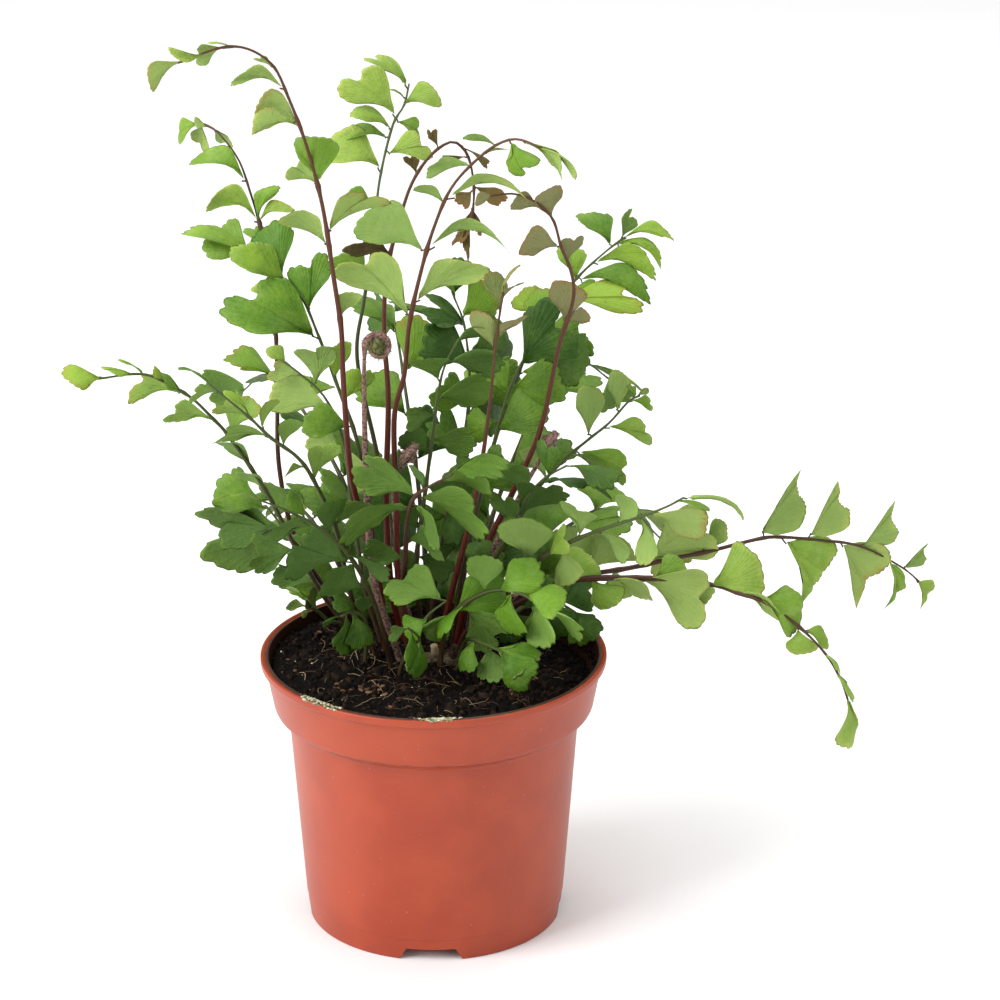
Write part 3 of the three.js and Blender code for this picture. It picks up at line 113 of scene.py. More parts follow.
# A frond is like this plain one wherever it doesn't say otherwise.
PLAIN_FROND = {'hue': 'old', 'girth': 2, 'width': 1.3, 'bow': 0, 'sickles': 0}
FRONDS = [
    dict(name='tall_left_frond', hue='young', girth=2.4, width=0.9, bow=0.08, root=[-17, 12], lean=-62,
         tilt=12,
         stem=[[380, 590], [362, 520], [350, 470], [343, 380], [341, 330], [333, 275], [322, 205],
            [306, 145], [288, 97], [273, 66], [248, 49], [220, 48], [178, 63]],
         leaves=[[341, 318, 361, 294], [328, 247, 279, 218, 0, 0.75, 0.06], [330, 236, 389, 197, 0, 0.9],
            [322, 185, 296, 140, 0, 1.4], [318, 181, 285, 174, 0, 1.2], [298, 128, 271, 88, 180, 1.3],
            [296, 122, 251, 132, 0, 0.6], [283, 90, 231, 87, 0, 0.45, 0.2], [273, 66, 253, 60, 0, 0.9],
            [230, 48, 207, 41, 0, 0.8], [223, 50, 199, 67, 0, 1.1], [203, 52, 169, 49, 0, 0.45],
            [180, 62, 151, 89, 0, 0.8]]),
    dict(name='tall_middle_frond', hue='young', girth=2.4, width=0.95, bow=0.06, root=[-6, 14], lean=-35,
         tilt=-10,
         stem=[[399, 590], [396, 500], [394, 418], [404, 375], [409, 325], [420, 275], [433, 230],
            [452, 187], [482, 155], [505, 141], [522, 140], [541, 148]],
         leaves=[[410, 322, 332, 267], [414, 303, 493, 276, 10, 0.6, 0.08], [424, 255, 353, 228],
            [430, 250, 511, 244, 10, 0.5, 0.2], [444, 203, 413, 188, 0, 0.75],
            [446, 199, 533, 199, 12, 0.5, 0.17], [470, 164, 426, 178, 0, 0.6], [482, 156, 512, 150, 0, 0.35],
            [497, 145, 462, 139, 0, 0.5], [509, 141, 515, 178, 0, 1.5], [522, 140, 564, 178, 10, 0.6, 0.15],
            [541, 148, 577, 179, 10, 0.5, 0.1]]),
    dict(name='red_drooping_frond', hue='dried', girth=2.6, width=0.7, bow=0.05, root=[-11, 24], lean=22,
         tilt=30,
         stem=[[391, 590], [386, 500], [388, 400], [384, 335], [386, 275], [396, 232], [411, 185],
            [430, 156], [450, 142], [462, 147], [470, 162], [474, 190], [472, 222]],
         leaves=[[391, 258, 347, 252, 30], [418, 174, 404, 158, 0, 1], [440, 147, 427, 133, 20],
            [463, 147, 488, 168, 20, 1.2], [467, 156, 440, 156, 0, 0.6], [474, 190, 454, 197, 0, 1.6],
            [474, 188, 506, 196, 0, 1.3], [474, 205, 463, 228, 20, 1.4], [473, 215, 452, 243, 0, 0.5],
            [472, 222, 481, 236, 20, 1.2], [472, 222, 469, 258, 0, 0.4]]),
    dict(name='red_arching_frond', hue='rosy', girth=2.6, width=0.9, bow=0.05, root=[7, 18], lean=-30,
         tilt=20,
         stem=[[468, 590], [487, 545], [509, 500], [540, 430], [558, 350], [573, 300], [571, 272],
            [561, 247], [553, 220], [537, 203], [515, 194], [490, 196]],
         leaves=[[567, 328, 552, 283, 0, 1.2], [568, 324, 591, 321, 0, 1.2], [568, 264, 585, 237, 0, 1.3],
            [560, 247, 519, 255, 0, 1.2], [554, 222, 560, 185, 0, 1.5], [541, 210, 510, 209, 0, 1.3],
            [490, 196, 476, 206, 20]]),
    dict(name='red_short_frond', hue='rosy', girth=2.4, width=0.8, root=[1, 12], lean=-25, tilt=-25,
         stem=[[452, 590], [470, 520], [482, 460], [490, 400], [496, 340], [503, 292]],
         leaves=[[495, 350, 469, 312, 30], [497, 338, 529, 317, 20], [501, 308, 486, 271, 40],
            [502, 300, 524, 282, 30], [503, 292, 516, 262, 30]]),
    dict(name='thin_left_frond', hue='young', width=0.95, bow=0.12, root=[-22, 29], lean=45, tilt=-14,
         stem=[[334, 600], [296, 540], [279, 468], [277, 390], [275, 320], [268, 262], [259, 222],
            [250, 192], [238, 159], [216, 131], [197, 122]],
         leaves=[[276, 340, 254, 318, 30], [274, 300, 250, 290, 20], [265, 248, 243, 230],
            [260, 221, 205, 211, 0, 0.65, 0.3], [260, 225, 295, 213, 0, 0.5, 0.2],
            [259, 220, 279, 189, 0, 0.6], [249, 185, 188, 163, 0, 0.6, 0.2], [214, 129, 234, 146, 0, 1.2],
            [199, 123, 207, 152, 0, 1.2], [210, 127, 195, 117, 40], [197, 122, 177, 144, 0, 1.1]]),
    dict(name='left_fan_frond', hue='middle', width=1, bow=0.03, root=[-13, 18], lean=10, tilt=15,
         stem=[[378, 600], [371, 520], [364, 470], [352, 425], [337, 385], [318, 335], [302, 299],
            [281, 281], [262, 268], [250, 257]],
         leaves=[[352, 425, 302, 431], [344, 402, 374, 372], [334, 378, 350, 342],
            [319, 338, 227, 313, 0, 0.9], [310, 312, 326, 256], [290, 288, 229, 253, 0, 0.75],
            [281, 281, 283, 219, 0, 1.15], [252, 258, 183, 232, 0, 0.55], [250, 257, 203, 246, 0, 1.5]]),
    dict(name='left_reaching_frond', hue='middle', girth=1.9, width=0.85, bow=0.05, root=[-25, 20], lean=-50,
         tilt=-20,
         stem=[[333, 610], [302, 560], [266, 492], [229, 437], [212, 418], [190, 397], [158, 379],
            [136, 374], [98, 379]],
         leaves=[[268, 493, 236, 472, 0, 1.3], [252, 470, 216, 442, 0, 1.4], [229, 437, 262, 405],
            [214, 420, 163, 421, 0, 0.9], [186, 393, 128, 397, 0, 0.75, 0.1], [181, 389, 157, 370, 0, 1.2],
            [163, 381, 154, 366, 20], [143, 375, 117, 360, 20, 0.9], [133, 374, 100, 368, 0, 1.1],
            [98, 379, 64, 367, 0, 1.3]]),
    dict(name='left_second_frond', hue='middle', girth=1.9, width=1, bow=0.04, root=[-20, 8], lean=-60,
         tilt=25,
         stem=[[352, 600], [336, 530], [316, 485], [298, 458], [271, 438], [250, 418], [232, 403],
            [209, 384]],
         leaves=[[335, 526, 372, 506], [314, 482, 338, 444], [305, 468, 284, 478], [284, 447, 300, 420],
            [268, 438, 212, 444], [262, 430, 278, 399], [250, 419, 225, 391, 180, 1.3],
            [248, 417, 212, 413, 0, 0.9], [219, 392, 189, 400, 0, 1], [209, 384, 178, 367, 0, 1]]),
    dict(name='left_low_frond', girth=2.2, root=[-28, 27], lean=2, tilt=-30,
         stem=[[322, 592], [300, 556], [280, 524], [266, 506]],
         leaves=[[318, 588, 272, 575], [308, 570, 330, 540], [296, 548, 253, 570], [289, 538, 214, 560],
            [282, 527, 219, 540], [276, 518, 300, 492], [266, 506, 212, 501, 20]]),
    dict(name='left_front_frond', girth=1.9, root=[-15, 3], lean=-50, tilt=35,
         stem=[[375, 606], [352, 560], [322, 530], [290, 512], [262, 501]],
         leaves=[[366, 590, 318, 590], [354, 563, 283, 562], [346, 552, 384, 583], [330, 537, 342, 498],
            [314, 525, 268, 540], [304, 520, 290, 490], [262, 501, 213, 499]]),
    dict(name='left_inner_frond', hue='young', girth=1.9, width=1, bow=0.04, root=[-19, 19], lean=5,
         tilt=-30,
         stem=[[365, 590], [351, 500], [343, 440], [325, 398], [300, 374], [284, 362]],
         leaves=[[351, 500, 386, 468], [345, 455, 304, 446], [334, 410, 268, 402], [314, 386, 331, 350],
            [300, 374, 268, 377], [284, 362, 265, 351]]),
    dict(name='top_back_frond', hue='young', width=0.95, bow=0.08, root=[-9, 36], lean=60, tilt=14,
         stem=[[398, 560], [376, 450], [357, 359], [364, 300], [374, 237], [379, 183], [392, 127],
            [404, 105], [409, 84]],
         leaves=[[366, 285, 330, 262], [371, 250, 400, 228], [376, 212, 340, 205], [381, 170, 320, 155, 20],
            [384, 155, 433, 156], [388, 137, 341, 137, 40], [391, 128, 352, 118, 20], [395, 121, 419, 141],
            [397, 117, 335, 91], [403, 107, 442, 101], [406, 97, 391, 89, 40], [409, 84, 363, 63]]),
    dict(name='right_upper_frond', hue='middle', width=1, bow=0.06, root=[9, 32], lean=45, tilt=-22,
         stem=[[466, 560], [492, 450], [524, 359], [546, 318], [575, 280], [605, 252], [625, 237]],
         leaves=[[505, 410, 462, 372], [520, 370, 558, 388], [534, 340, 592, 355], [545, 320, 510, 300],
            [560, 298, 644, 312, 0, 0.65, 0], [566, 290, 602, 300, 0, 1, 0], [575, 281, 560, 244, 0, 1, 0],
            [576, 281, 648, 304, 10, 0.5, 0.16], [593, 263, 655, 282, 10, 0.5, 0.18],
            [612, 247, 577, 214, 0, 1, 0.04], [616, 245, 660, 267, 10, 0.5, 0.2], [623, 238, 630, 207, 0, 1],
            [625, 237, 672, 238, 10, 0.6, 0.14]]),
    dict(name='right_small_frond', hue='young', girth=1.7, width=0.75, bow=0.08, root=[14, 25], lean=15,
         tilt=20,
         stem=[[497, 570], [530, 500], [561, 463], [589, 439], [609, 423], [629, 401], [639, 396]],
         leaves=[[545, 480, 518, 452], [572, 458, 604, 475, 0, 0.6], [577, 453, 623, 486, 0, 0.8, 0.14],
            [590, 439, 575, 388, 0, 1.1, 0.06], [607, 427, 654, 443, 0, 0.7, 0.08],
            [617, 411, 607, 374, 0, 1], [630, 401, 654, 411, 0, 0.8], [634, 399, 627, 386, 20],
            [639, 396, 648, 388]]),
    dict(name='right_long_frond', hue='young', width=1.1, bow=0.06, sickles=8, root=[19, 22], lean=40,
         tilt=8,
         stem=[[510, 606], [545, 583], [590, 574], [629, 568], [675, 558], [706, 552], [758, 539],
            [780, 537], [820, 540], [860, 546], [900, 566], [920, 582]],
         leaves=[[560, 580, 566, 524], [590, 574, 606, 528], [614, 570, 600, 610],
            [645, 562, 697, 503, 0, 1.2], [703, 553, 720, 518, 0, 0.6], [758, 539, 799, 465],
            [782, 538, 805, 610, 0, 1.3], [809, 539, 838, 477, 0, 1.15], [842, 544, 856, 608, 0, 1.35],
            [862, 547, 895, 500], [886, 559, 880, 610, 0, 0.7, 0.15], [905, 569, 928, 541],
            [918, 581, 921, 610, 0, 1.5]]),
    dict(name='right_trailing_frond', hue='young', girth=2.2, width=1.6, bow=0.04, root=[7.5, 11.2],
         lean=-45, tilt=-12,
         stem=[[470, 628], [512, 606], [540, 592], [575, 580], [643, 578], [708, 584], [740, 594],
            [764, 602], [796, 624], [824, 652], [840, 678], [848, 700]],
         leaves=[[560, 584, 575, 546], [592, 579, 602, 612], [606, 579, 650, 603, 40],
            [640, 578, 700, 626, 30], [650, 578, 680, 556, 30], [684, 581, 694, 611],
            [707, 584, 766, 588, 180, 0.95], [738, 595, 784, 626, 0, 0.85], [760, 600, 804, 596, 0, 1],
            [800, 626, 790, 654, 0, 1], [804, 627, 829, 648, 180, 0.5], [824, 650, 842, 674, 0, 0.8],
            [838, 672, 853, 700, 0, 0.9], [848, 700, 849, 747, 50, 0.6]]),
    dict(name='right_front_frond', hue='young', girth=1.9, width=1, bow=0.06, root=[16, 6], lean=-55,
         tilt=30,
         stem=[[500, 604], [530, 566], [566, 544], [600, 530], [640, 517], [666, 507], [683, 498]],
         leaves=[[510, 592, 540, 560], [528, 568, 500, 523], [548, 553, 566, 524], [560, 546, 556, 586],
            [580, 538, 562, 502, 20], [596, 531, 622, 562], [618, 524, 620, 493], [640, 517, 640, 560, 10],
            [648, 513, 698, 545], [676, 502, 711, 509, 20, 0.6], [683, 498, 744, 518, 10, 0.55, 0.28]]),
    dict(name='centre_front_frond', girth=2.8, root=[-8, 3], lean=-40, tilt=-35,
         stem=[[402, 606], [405, 560], [407, 522], [414, 498], [430, 486], [450, 476]],
         leaves=[[405, 560, 368, 560], [406, 540, 446, 556], [410, 505, 342, 541], [412, 502, 434, 553],
            [415, 497, 350, 481], [417, 496, 489, 539], [424, 490, 408, 466], [450, 476, 506, 455, 10],
            [438, 482, 492, 486]]),
    dict(name='centre_dark_frond', root=[-2, 29], lean=25, tilt=35,
         stem=[[438, 560], [455, 480], [469, 400], [465, 330], [452, 292]],
         leaves=[[441, 548, 472, 534], [448, 515, 420, 530], [462, 440, 428, 432], [468, 410, 500, 432],
            [469, 398, 430, 404], [470, 380, 520, 402], [469, 362, 424, 350], [468, 352, 512, 352],
            [464, 325, 430, 318], [462, 318, 500, 302], [456, 300, 440, 272], [452, 292, 474, 262]]),
    dict(name='centre_right_frond', root=[6, 25], lean=5, tilt=-35,
         stem=[[462, 570], [482, 490], [500, 420], [514, 378], [533, 345], [552, 325]],
         leaves=[[466, 552, 500, 570], [474, 522, 446, 548], [482, 490, 524, 474], [488, 465, 456, 492],
            [497, 430, 545, 420], [500, 420, 470, 440], [508, 395, 484, 366], [512, 384, 562, 400],
            [520, 366, 548, 300], [533, 345, 580, 384], [552, 325, 528, 290]]),
    dict(name='centre_left_frond', root=[-4, 22], lean=-25, tilt=30,
         stem=[[416, 570], [424, 500], [432, 440], [437, 400], [444, 368], [458, 340]],
         leaves=[[418, 556, 452, 578], [421, 530, 392, 516], [426, 485, 458, 508], [430, 455, 398, 440],
            [432, 440, 470, 455], [435, 415, 408, 430], [438, 398, 488, 402], [441, 382, 410, 358],
            [446, 362, 496, 374], [458, 340, 490, 330]]),
    dict(name='right_inner_frond', bow=0.05, root=[12, 14], lean=-20, tilt=-25,
         stem=[[482, 586], [505, 540], [525, 500], [545, 478], [566, 466]],
         leaves=[[490, 572, 466, 548], [500, 552, 542, 540], [510, 530, 490, 492], [516, 518, 568, 492],
            [528, 497, 502, 470], [540, 483, 612, 487, 40], [548, 476, 540, 440], [566, 466, 622, 478, 50]]),
    dict(name='front_bright_frond', hue='middle', look='bright', girth=2.2, root=[2, 1], lean=-20, tilt=15,
         stem=[[448, 622], [470, 600], [496, 590], [522, 594], [545, 610]],
         leaves=[[450, 612, 490, 567], [467, 604, 437, 635, 40], [466, 604, 486, 656],
            [486, 593, 470, 558, 20], [500, 590, 530, 558], [512, 591, 502, 632, 30], [526, 595, 566, 590],
            [534, 601, 528, 646], [545, 610, 580, 642]]),
    dict(name='front_low_frond', look='middle', girth=1.8, root=[8, 0], lean=-22, tilt=10,
         stem=[[466, 640], [484, 644], [502, 652]],
         leaves=[[474, 642, 458, 668], [488, 645, 484, 682, -40], [494, 648, 541, 654, 55],
            [500, 651, 520, 692, -50]]),
    dict(name='right_low_frond', girth=1.8, root=[17, 18], lean=-4, tilt=-20,
         stem=[[505, 622], [530, 604], [556, 602], [575, 612]],
         leaves=[[512, 616, 502, 642], [516, 612, 532, 640], [520, 609, 536, 580], [528, 605, 550, 576],
            [542, 602, 560, 640], [556, 602, 590, 578], [566, 606, 602, 630], [575, 612, 582, 646]]),
    dict(name='crown_low_frond', hue='middle', look='bright', girth=1.7, width=1.2, root=[-12, -2], lean=-7,
         tilt=15,
         stem=[[408, 652], [426, 618], [446, 601]],
         leaves=[[446, 601, 385, 591], [428, 616, 408, 642], [420, 630, 444, 640]]),
    dict(name='crown_drooping_frond', hue='middle', girth=1.6, root=[-7, -3], lean=-12, tilt=10,
         stem=[[416, 656], [419, 638], [408, 628]],
         leaves=[[412, 630, 414, 668], [419, 640, 420, 679, 50], [408, 628, 390, 641, 20]]),
    dict(name='left_shoot_frond', hue='young', girth=1.5, width=0.9, root=[-33, 33], lean=-8, tilt=-15,
         stem=[[330, 622], [316, 610], [306, 606]],
         leaves=[[320, 612, 312, 584], [314, 609, 290, 584, 20], [306, 606, 286, 609, 20],
            [310, 608, 304, 618, 20]]),
    dict(name='left_mat_frond', girth=1.7, root=[-24, 4], lean=-10, tilt=15,
         stem=[[366, 622], [352, 612], [342, 616]],
         leaves=[[362, 618, 372, 596], [356, 613, 334, 590], [350, 612, 372, 644], [342, 616, 322, 626],
            [345, 614, 350, 654]]),
    dict(name='back_middle_frond', root=[-2, 43], tilt=8,
         path=[[-6, 54, 136], [-12, 80, 172], [-16, 104, 186], [-18, 124, 178]],
         spread=[0.12, 9, 28]),
    dict(name='back_left_frond', root=[-16, 41], tilt=8,
         path=[[-30, 54, 132], [-48, 78, 158], [-62, 100, 164], [-72, 118, 152]],
         spread=[0.12, 9, 28]),
    dict(name='back_right_frond', root=[9, 41], tilt=8,
         path=[[22, 54, 132], [38, 80, 162], [52, 102, 168], [64, 118, 156]],
         spread=[0.12, 9, 28]),
    dict(name='back_low_left_frond', hue='middle', girth=1.8, root=[-25, 38], tilt=8,
         path=[[-36, 50, 112], [-48, 66, 124], [-58, 80, 122], [-64, 92, 110]],
         spread=[0.25, 8, 26]),
    dict(name='back_low_right_frond', hue='middle', girth=1.8, root=[17, 35], tilt=8,
         path=[[34, 46, 112], [54, 62, 124], [70, 76, 120], [82, 90, 104]],
         spread=[0.18, 8, 26]),
]

# The young fronds still rolled up. The coil's middle is a point of the picture with its depth;
# a coil that is edge on leans to the right.
FIDDLEHEADS = [
    dict(name='fiddlehead_left', root=[-12, 8], lean=-10, girth=2.3,
         coil={'middle': [378, 347, -14], 'radius': 4.4, 'edge_on': False},
         stem=[[376, 590], [368, 520], [365, 440], [364, 380]]),
    dict(name='fiddlehead_right', root=[11, 20], lean=-2, girth=1.9,
         coil={'middle': [548, 443, 13], 'radius': 4.2, 'edge_on': True},
         stem=[[476, 590], [503, 530], [526, 484], [540, 460]]),
    dict(name='fiddlehead_middle', root=[-6, 19], lean=-4, girth=1.9,
         coil={'middle': [408, 456, 9], 'radius': 4.2, 'edge_on': True},
         stem=[[402, 590], [396, 530], [394, 490], [397, 475]]),
]

# --- Fine shapes --------------------------------------------------------------------------------

# The fine outlines, [along, across], from beside the stalk along the lower edge to the tip and
# back over the broad corner. 'teeth' is where the toothed edge starts and ends, in points.
LOBED_FAN = {
    'points': [[0.12, 0], [0.25, 0.01], [0.4, -0.02], [0.55, -0.12], [0.7, -0.15], [0.84, -0.12],
               [0.95, -0.06], [1, 0.03], [0.96, 0.12], [0.87, 0.16], [0.77, 0.14], [0.72, 0.18],
               [0.73, 0.28], [0.66, 0.38], [0.54, 0.43], [0.42, 0.39], [0.31, 0.27], [0.2, 0.13],
               [0.1, 0.05]],
    'teeth': [3, 15],
}
ROUND_FAN = {
    'points': [[0.12, 0], [0.26, -0.01], [0.42, -0.06], [0.6, -0.13], [0.8, -0.12], [0.95, -0.05],
               [1, 0.05], [0.95, 0.16], [0.85, 0.28], [0.71, 0.37], [0.55, 0.43], [0.42, 0.39],
               [0.31, 0.27], [0.2, 0.13], [0.1, 0.05]],
    'teeth': [3, 11],
}
SICKLE = {
    'points': [[0.1, 0.01], [0.25, 0.025], [0.45, 0.03], [0.7, 0.01], [0.88, -0.02], [0.99, -0.02],
               [0.9, 0.04], [0.79, 0.075], [0.68, 0.11], [0.6, 0.16], [0.56, 0.23], [0.51, 0.3],
               [0.43, 0.34], [0.31, 0.36], [0.19, 0.3], [0.09, 0.13]],
    'teeth': [7, 13],
}
# rows:   of faces from the stalk to the rim, where rows_power brings them closer
# rim_power: how late the blade thins towards its rim
# play:   the most by which chance moves an outline's points
# plain:  columns of faces on each of the two stretches without teeth
# fuller: how much wider a blade is than its solid
# spread: how the veins bend outwards on their way from the stalk
# sharp:  how pointed the gaps between the teeth are
# tooth_middle and lobe_middle: the height of each wave that leaves the outline where it is
# fade:   how soon the teeth and lobes reach their full depth from either end of their edge
# curl, twist and wave: the most by which the tip bends down, the blade turns and its rim waves
LEAF = {
    'thickness': 0.3, 'rows': 5, 'rows_power': 2, 'rim_power': 6, 'plain': 5, 'tooth_columns': 4,
    'fineness': 400, 'play': 0.015, 'fuller': 1.16, 'spread': 1.6, 'sharp': 0.7, 'tooth_middle': 0.7,
    'lobe_middle': 0.6, 'fade': 4, 'pleats': 7, 'pleat_height': 0.06, 'pleated_length': 20,
    'least_curl': -0.3, 'curl': 0.16, 'twist': 0.7, 'wave': 0.045, 'waves': [1, 2.5],
}
# from: where the blade starts, as a fraction of the leaflet's length; into: how far the stalk goes in
STALK = {
    'from': 0.06, 'into': 1.4, 'radius': 0.3, 'radii': [1.5, 1.1, 1, 1, 1, 0.9], 'bend': 0.4, 'sides': 6,
}
# A leaflet shorter than this has few teeth, one narrower than this is round, and so are most small ones.
SMALL_LEAF, SMALL_TEETH = 14, 8
NARROW_LEAF, ROUND_SHARE = 0.65, 0.7
# The leaflets are painted darker towards the crown's middle, as painted shade, to the least paleness.
CROWN = np.array([0, 10, 100])
PALE_FROM, LEAST_PALE = 105, 0.2
# teeth per leaflet, how deep they and the lobes between them are, as fractions of its length
TOOTHING = {
    'young': {'teeth': 10, 'depth': 0.022, 'lobes': 3, 'lobe_depth': 0.02},
    'middle': {'teeth': 10, 'depth': 0.034, 'lobes': 4, 'lobe_depth': 0.04},
    'old': {'teeth': 8, 'depth': 0.05, 'lobes': 3, 'lobe_depth': 0.08},
    'rosy': {'teeth': 7, 'depth': 0.02, 'lobes': 2, 'lobe_depth': 0.03},
    'dried': {'teeth': 6, 'depth': 0.05, 'lobes': 3, 'lobe_depth': 0.12},
}
# A fine stem is thinner than its solid towards the tip, with a knot wherever a leaflet grows.
FINE_STEM = {'step': 2.5, 'taper': 0.5, 'knot': 0.28, 'knot_length': 2.2, 'sides': 8, 'groove': 0.2}
# ends: the radii of a tube's two last rings, against its own; reach: how far it bulges at its end
TUBE = {'ends': [0.35, 0.8], 'reach': 0.8, 'first_normal': [1, 0.2, 0.1], 'groove_width': 0.6}
# angles: where a hair's three corners are, in radians; aside: a direction that no hair has
HAIR = {'angles': [0, 2.1, 4.2], 'droop': 0.15, 'aside': [0.3, 0, 1]}
# rough and uneven: how far chance moves a grain's points, and stretches it
# flat: a grain squashed more than this lies level; turn: the most that it is turned then, in radians
GRAIN = {'rough': 0.55, 'least': 0.7, 'uneven': 0.6, 'flat': 0.6, 'turn': 6.28}
# blend: over how many points each way the stem's radius passes into the coil's
FIDDLE = {
    'steps': 90, 'turns': 1.75, 'inner_radius': 1, 'swell': 1.25, 'inner_thickness': 0.6,
    'stem_green': 0.45, 'sides': 12, 'blend': 2, 'hairs': 900, 'hair_length': 1.5,
}
# a_step and core: how many on each step of the coil and in its middle; level: how finely each is divided
# The buds' places and sizes are against the radius of the coil's tube, and in the core the coil's own.
BUDS = {
    'a_step': 2, 'inward': 0.7, 'sizes': [0.45, 0.7], 'squash': 0.8, 'level': 2,
    'core': 90, 'core_radius': 0.72, 'core_reach': [0.1, 0.75], 'core_sizes': [0.25, 0.4],
}
# crowded: the share of hairs on the dense part; sunk: where their feet are, against the radius
STEM_HAIRS = {'radius': 0.09, 'crowded': 0.6, 'lean': [-0.3, 0.9], 'lengths': [0.5, 1.2], 'sunk': 0.9}
SCALES = {'count': 260, 'radius': 0.22, 'lengths': [1, 2], 'sunk': 0.95, 'off': 0.5}
# The rhizome's fine form. waves: of its girth, [height, pace, start]
KNOBBLY = {
    'fineness': 60, 'steps': 26, 'sides': 16, 'girth': 0.93, 'waves': [[0.09, 23, 0], [0.05, 51, 1]],
    'marks': (0.3, 0, 0.4, 1),
}
# An old stub narrows by its taper to the top and ripples a little. paleness: of the two stubs' tops
STUB = {
    'steps': 9, 'sides': 14, 'paleness': [1.2, 0.1], 'hairs': 70, 'hair_length': 1.1, 'foot': 1.05,
    'taper': 0.2, 'ripple': 0.1, 'ripples': 9,
}
# steps: points in a rounded corner; room: the most of an edge that the rounding takes
ROUNDING = {'steps': 5, 'room': 0.45}
# An edge of the pot that turns by more degrees than POT_EDGE looks sharp.
POT_SIDES, POT_EDGE = 160, 35
# A fine ridge round the foot.
RIDGE = {'height': 8, 'step': 0.25}
# A groove round the top of the lip, whose inner part is a little lower.
LIP_GROOVE = {'radius': 58.1, 'depth': 0.45, 'outer_edge': 0.9, 'slope': 0.4, 'inner_drop': 0.1}
DRAIN_SIDES = 24
# stretches: [first angle, last angle, count of grains]; slope: how the lip's inner side falls;
# inset: how far the grains stay from the band's radius and from the rim's
CRUST = {
    'stretches': [[-6, 11, 120], [-51, -31, 120]], 'radius': 57.6, 'spread': 1.8, 'sizes': [0.1, 0.85],
    'slope': 1.3, 'inset': [1, 0.3], 'squash': 0.3,
}
# The soil's rough top. fractal: each octave's weaker height, its finer length, and how many there are
HOLLOWS = {'depth': 1.1, 'per_mm': 0.22, 'fractal': [1, 2.1, 4]}
LUMPS = {'height': 0.4, 'per_mm': 1.1, 'layer': 3}
SOIL_MESH = {'rings': 70, 'sides': 180, 'inset': 0.15}
# Loose bits on the soil stay within this radius.
SOIL_EDGE = 55.2
# [count, smallest, largest, how finely each is divided]
CRUMBS = [[4200, 0.25, 1.1, 1], [230, 0.9, 2.3, 2]]
CRUMB_SQUASH = 0.8
# rise: how high above the soil they stick; off: how far their middles are from the wall
WALL_CRUMBS = {'count': 700, 'rise': 4.5, 'sizes': [0.25, 0.8], 'off': 0.1}
# count: strewn by chance; spots: heaps, [picture x, picture y, count, spread in mm]
CHIPS = {
    'count': 26, 'sizes': [0.5, 1.3], 'squash': 0.45,
    'spots': [[341, 688, 16, 2.2], [374, 691, 12, 1.8], [514, 692, 8, 1.4], [322, 636, 4, 1.2]],
}
SPECKS = {'count': 40, 'sizes': [0.15, 0.35], 'squash': 0.8, 'spots': []}
SPOT_SIZES = [0.5, 1.2]
# How far a bit stands out of the soil, against its size.
BITS_LIFT, SPOT_LIFT = 0.3, 0.4
# bend: the most that a fibre turns, in radians; rise and lifts: of its ends and its middle, off the soil
FIBRES = {
    'count': 150, 'steps': 8, 'inset': 6, 'bend': 1.6, 'lengths': [3, 16], 'rise': 0.25, 'lifts': [0.1, 1.2],
    'thick': [0.05, 0.13], 'sides': 4,
}
TUFTS = {
    'places': [[435, 682], [515, 697]], 'hairs': 40, 'spread': 1.3, 'lengths': [1.5, 3.5], 'radius': 0.13,
    'upward': [0.3, 1.2],
}
FLOOR = {
    'size': 6000, 'height': -0.02, 'points': 5, 'colours': [(0.86, 0.86, 0.86), (0.89, 0.89, 0.89)],
}
LENS = {'sensor': 36, 'near': 0.1, 'far': 20}
WORLD_STRENGTH = 0.62
# A soft square lamp each: its place and the place that it lights in metres, its side and its watts.
LAMPS = {
    'key': [(-1.3, -0.7, 1.1), (0.02, 0, 0.12), 1.1, 36],
    'fill': [(1.2, -1.0, 0.9), (0.02, 0, 0.12), 1.2, 7],
    'top': [(0.1, 0.5, 1.9), (0.02, 0, 0.1), 1.3, 22],
}

# --- Colours ------------------------------------------------------------------------------------

# dark and pale: the blade's colour where it is darkest and where it is palest
# edge:  the colour at its rim, and how much of the rim has it
# under: the paler underside's colour, also used for the paler veins and for the patches of painted sheen
LEAF_LOOKS = {
    'young': {'dark': (0.11, 0.23, 0.012), 'pale': (0.27, 0.39, 0.06), 'edge': (0.42, 0.46, 0.1),
              'under': (0.25, 0.35, 0.11), 'edge_share': 0.6},
    'middle': {'dark': (0.05, 0.14, 0.005), 'pale': (0.22, 0.35, 0.03), 'edge': (0.3, 0.42, 0.07),
               'under': (0.16, 0.26, 0.065), 'edge_share': 0.45},
    'bright': {'dark': (0.085, 0.21, 0.008), 'pale': (0.24, 0.42, 0.04), 'edge': (0.33, 0.46, 0.08),
               'under': (0.21, 0.34, 0.08), 'edge_share': 0.35},
    'old': {'dark': (0.018, 0.06, 0.003), 'pale': (0.13, 0.25, 0.013), 'edge': (0.18, 0.3, 0.04),
            'under': (0.08, 0.15, 0.03), 'edge_share': 0.4},
    'rosy': {'dark': (0.09, 0.14, 0.025), 'pale': (0.22, 0.26, 0.08), 'edge': (0.3, 0.1, 0.03),
             'under': (0.23, 0.2, 0.1), 'edge_share': 0.7},
    'dried': {'dark': (0.035, 0.024, 0.006), 'pale': (0.16, 0.13, 0.02), 'edge': (0.2, 0.06, 0.012),
              'under': (0.13, 0.09, 0.035), 'edge_share': 0.9},
}
RUST, LEAF_SPOT = (0.3, 0.11, 0.02), (0.16, 0.08, 0.02)
# How many veins cross a blade's rim, and how many there are nearer its stalk.
VEINS = [26, 13]
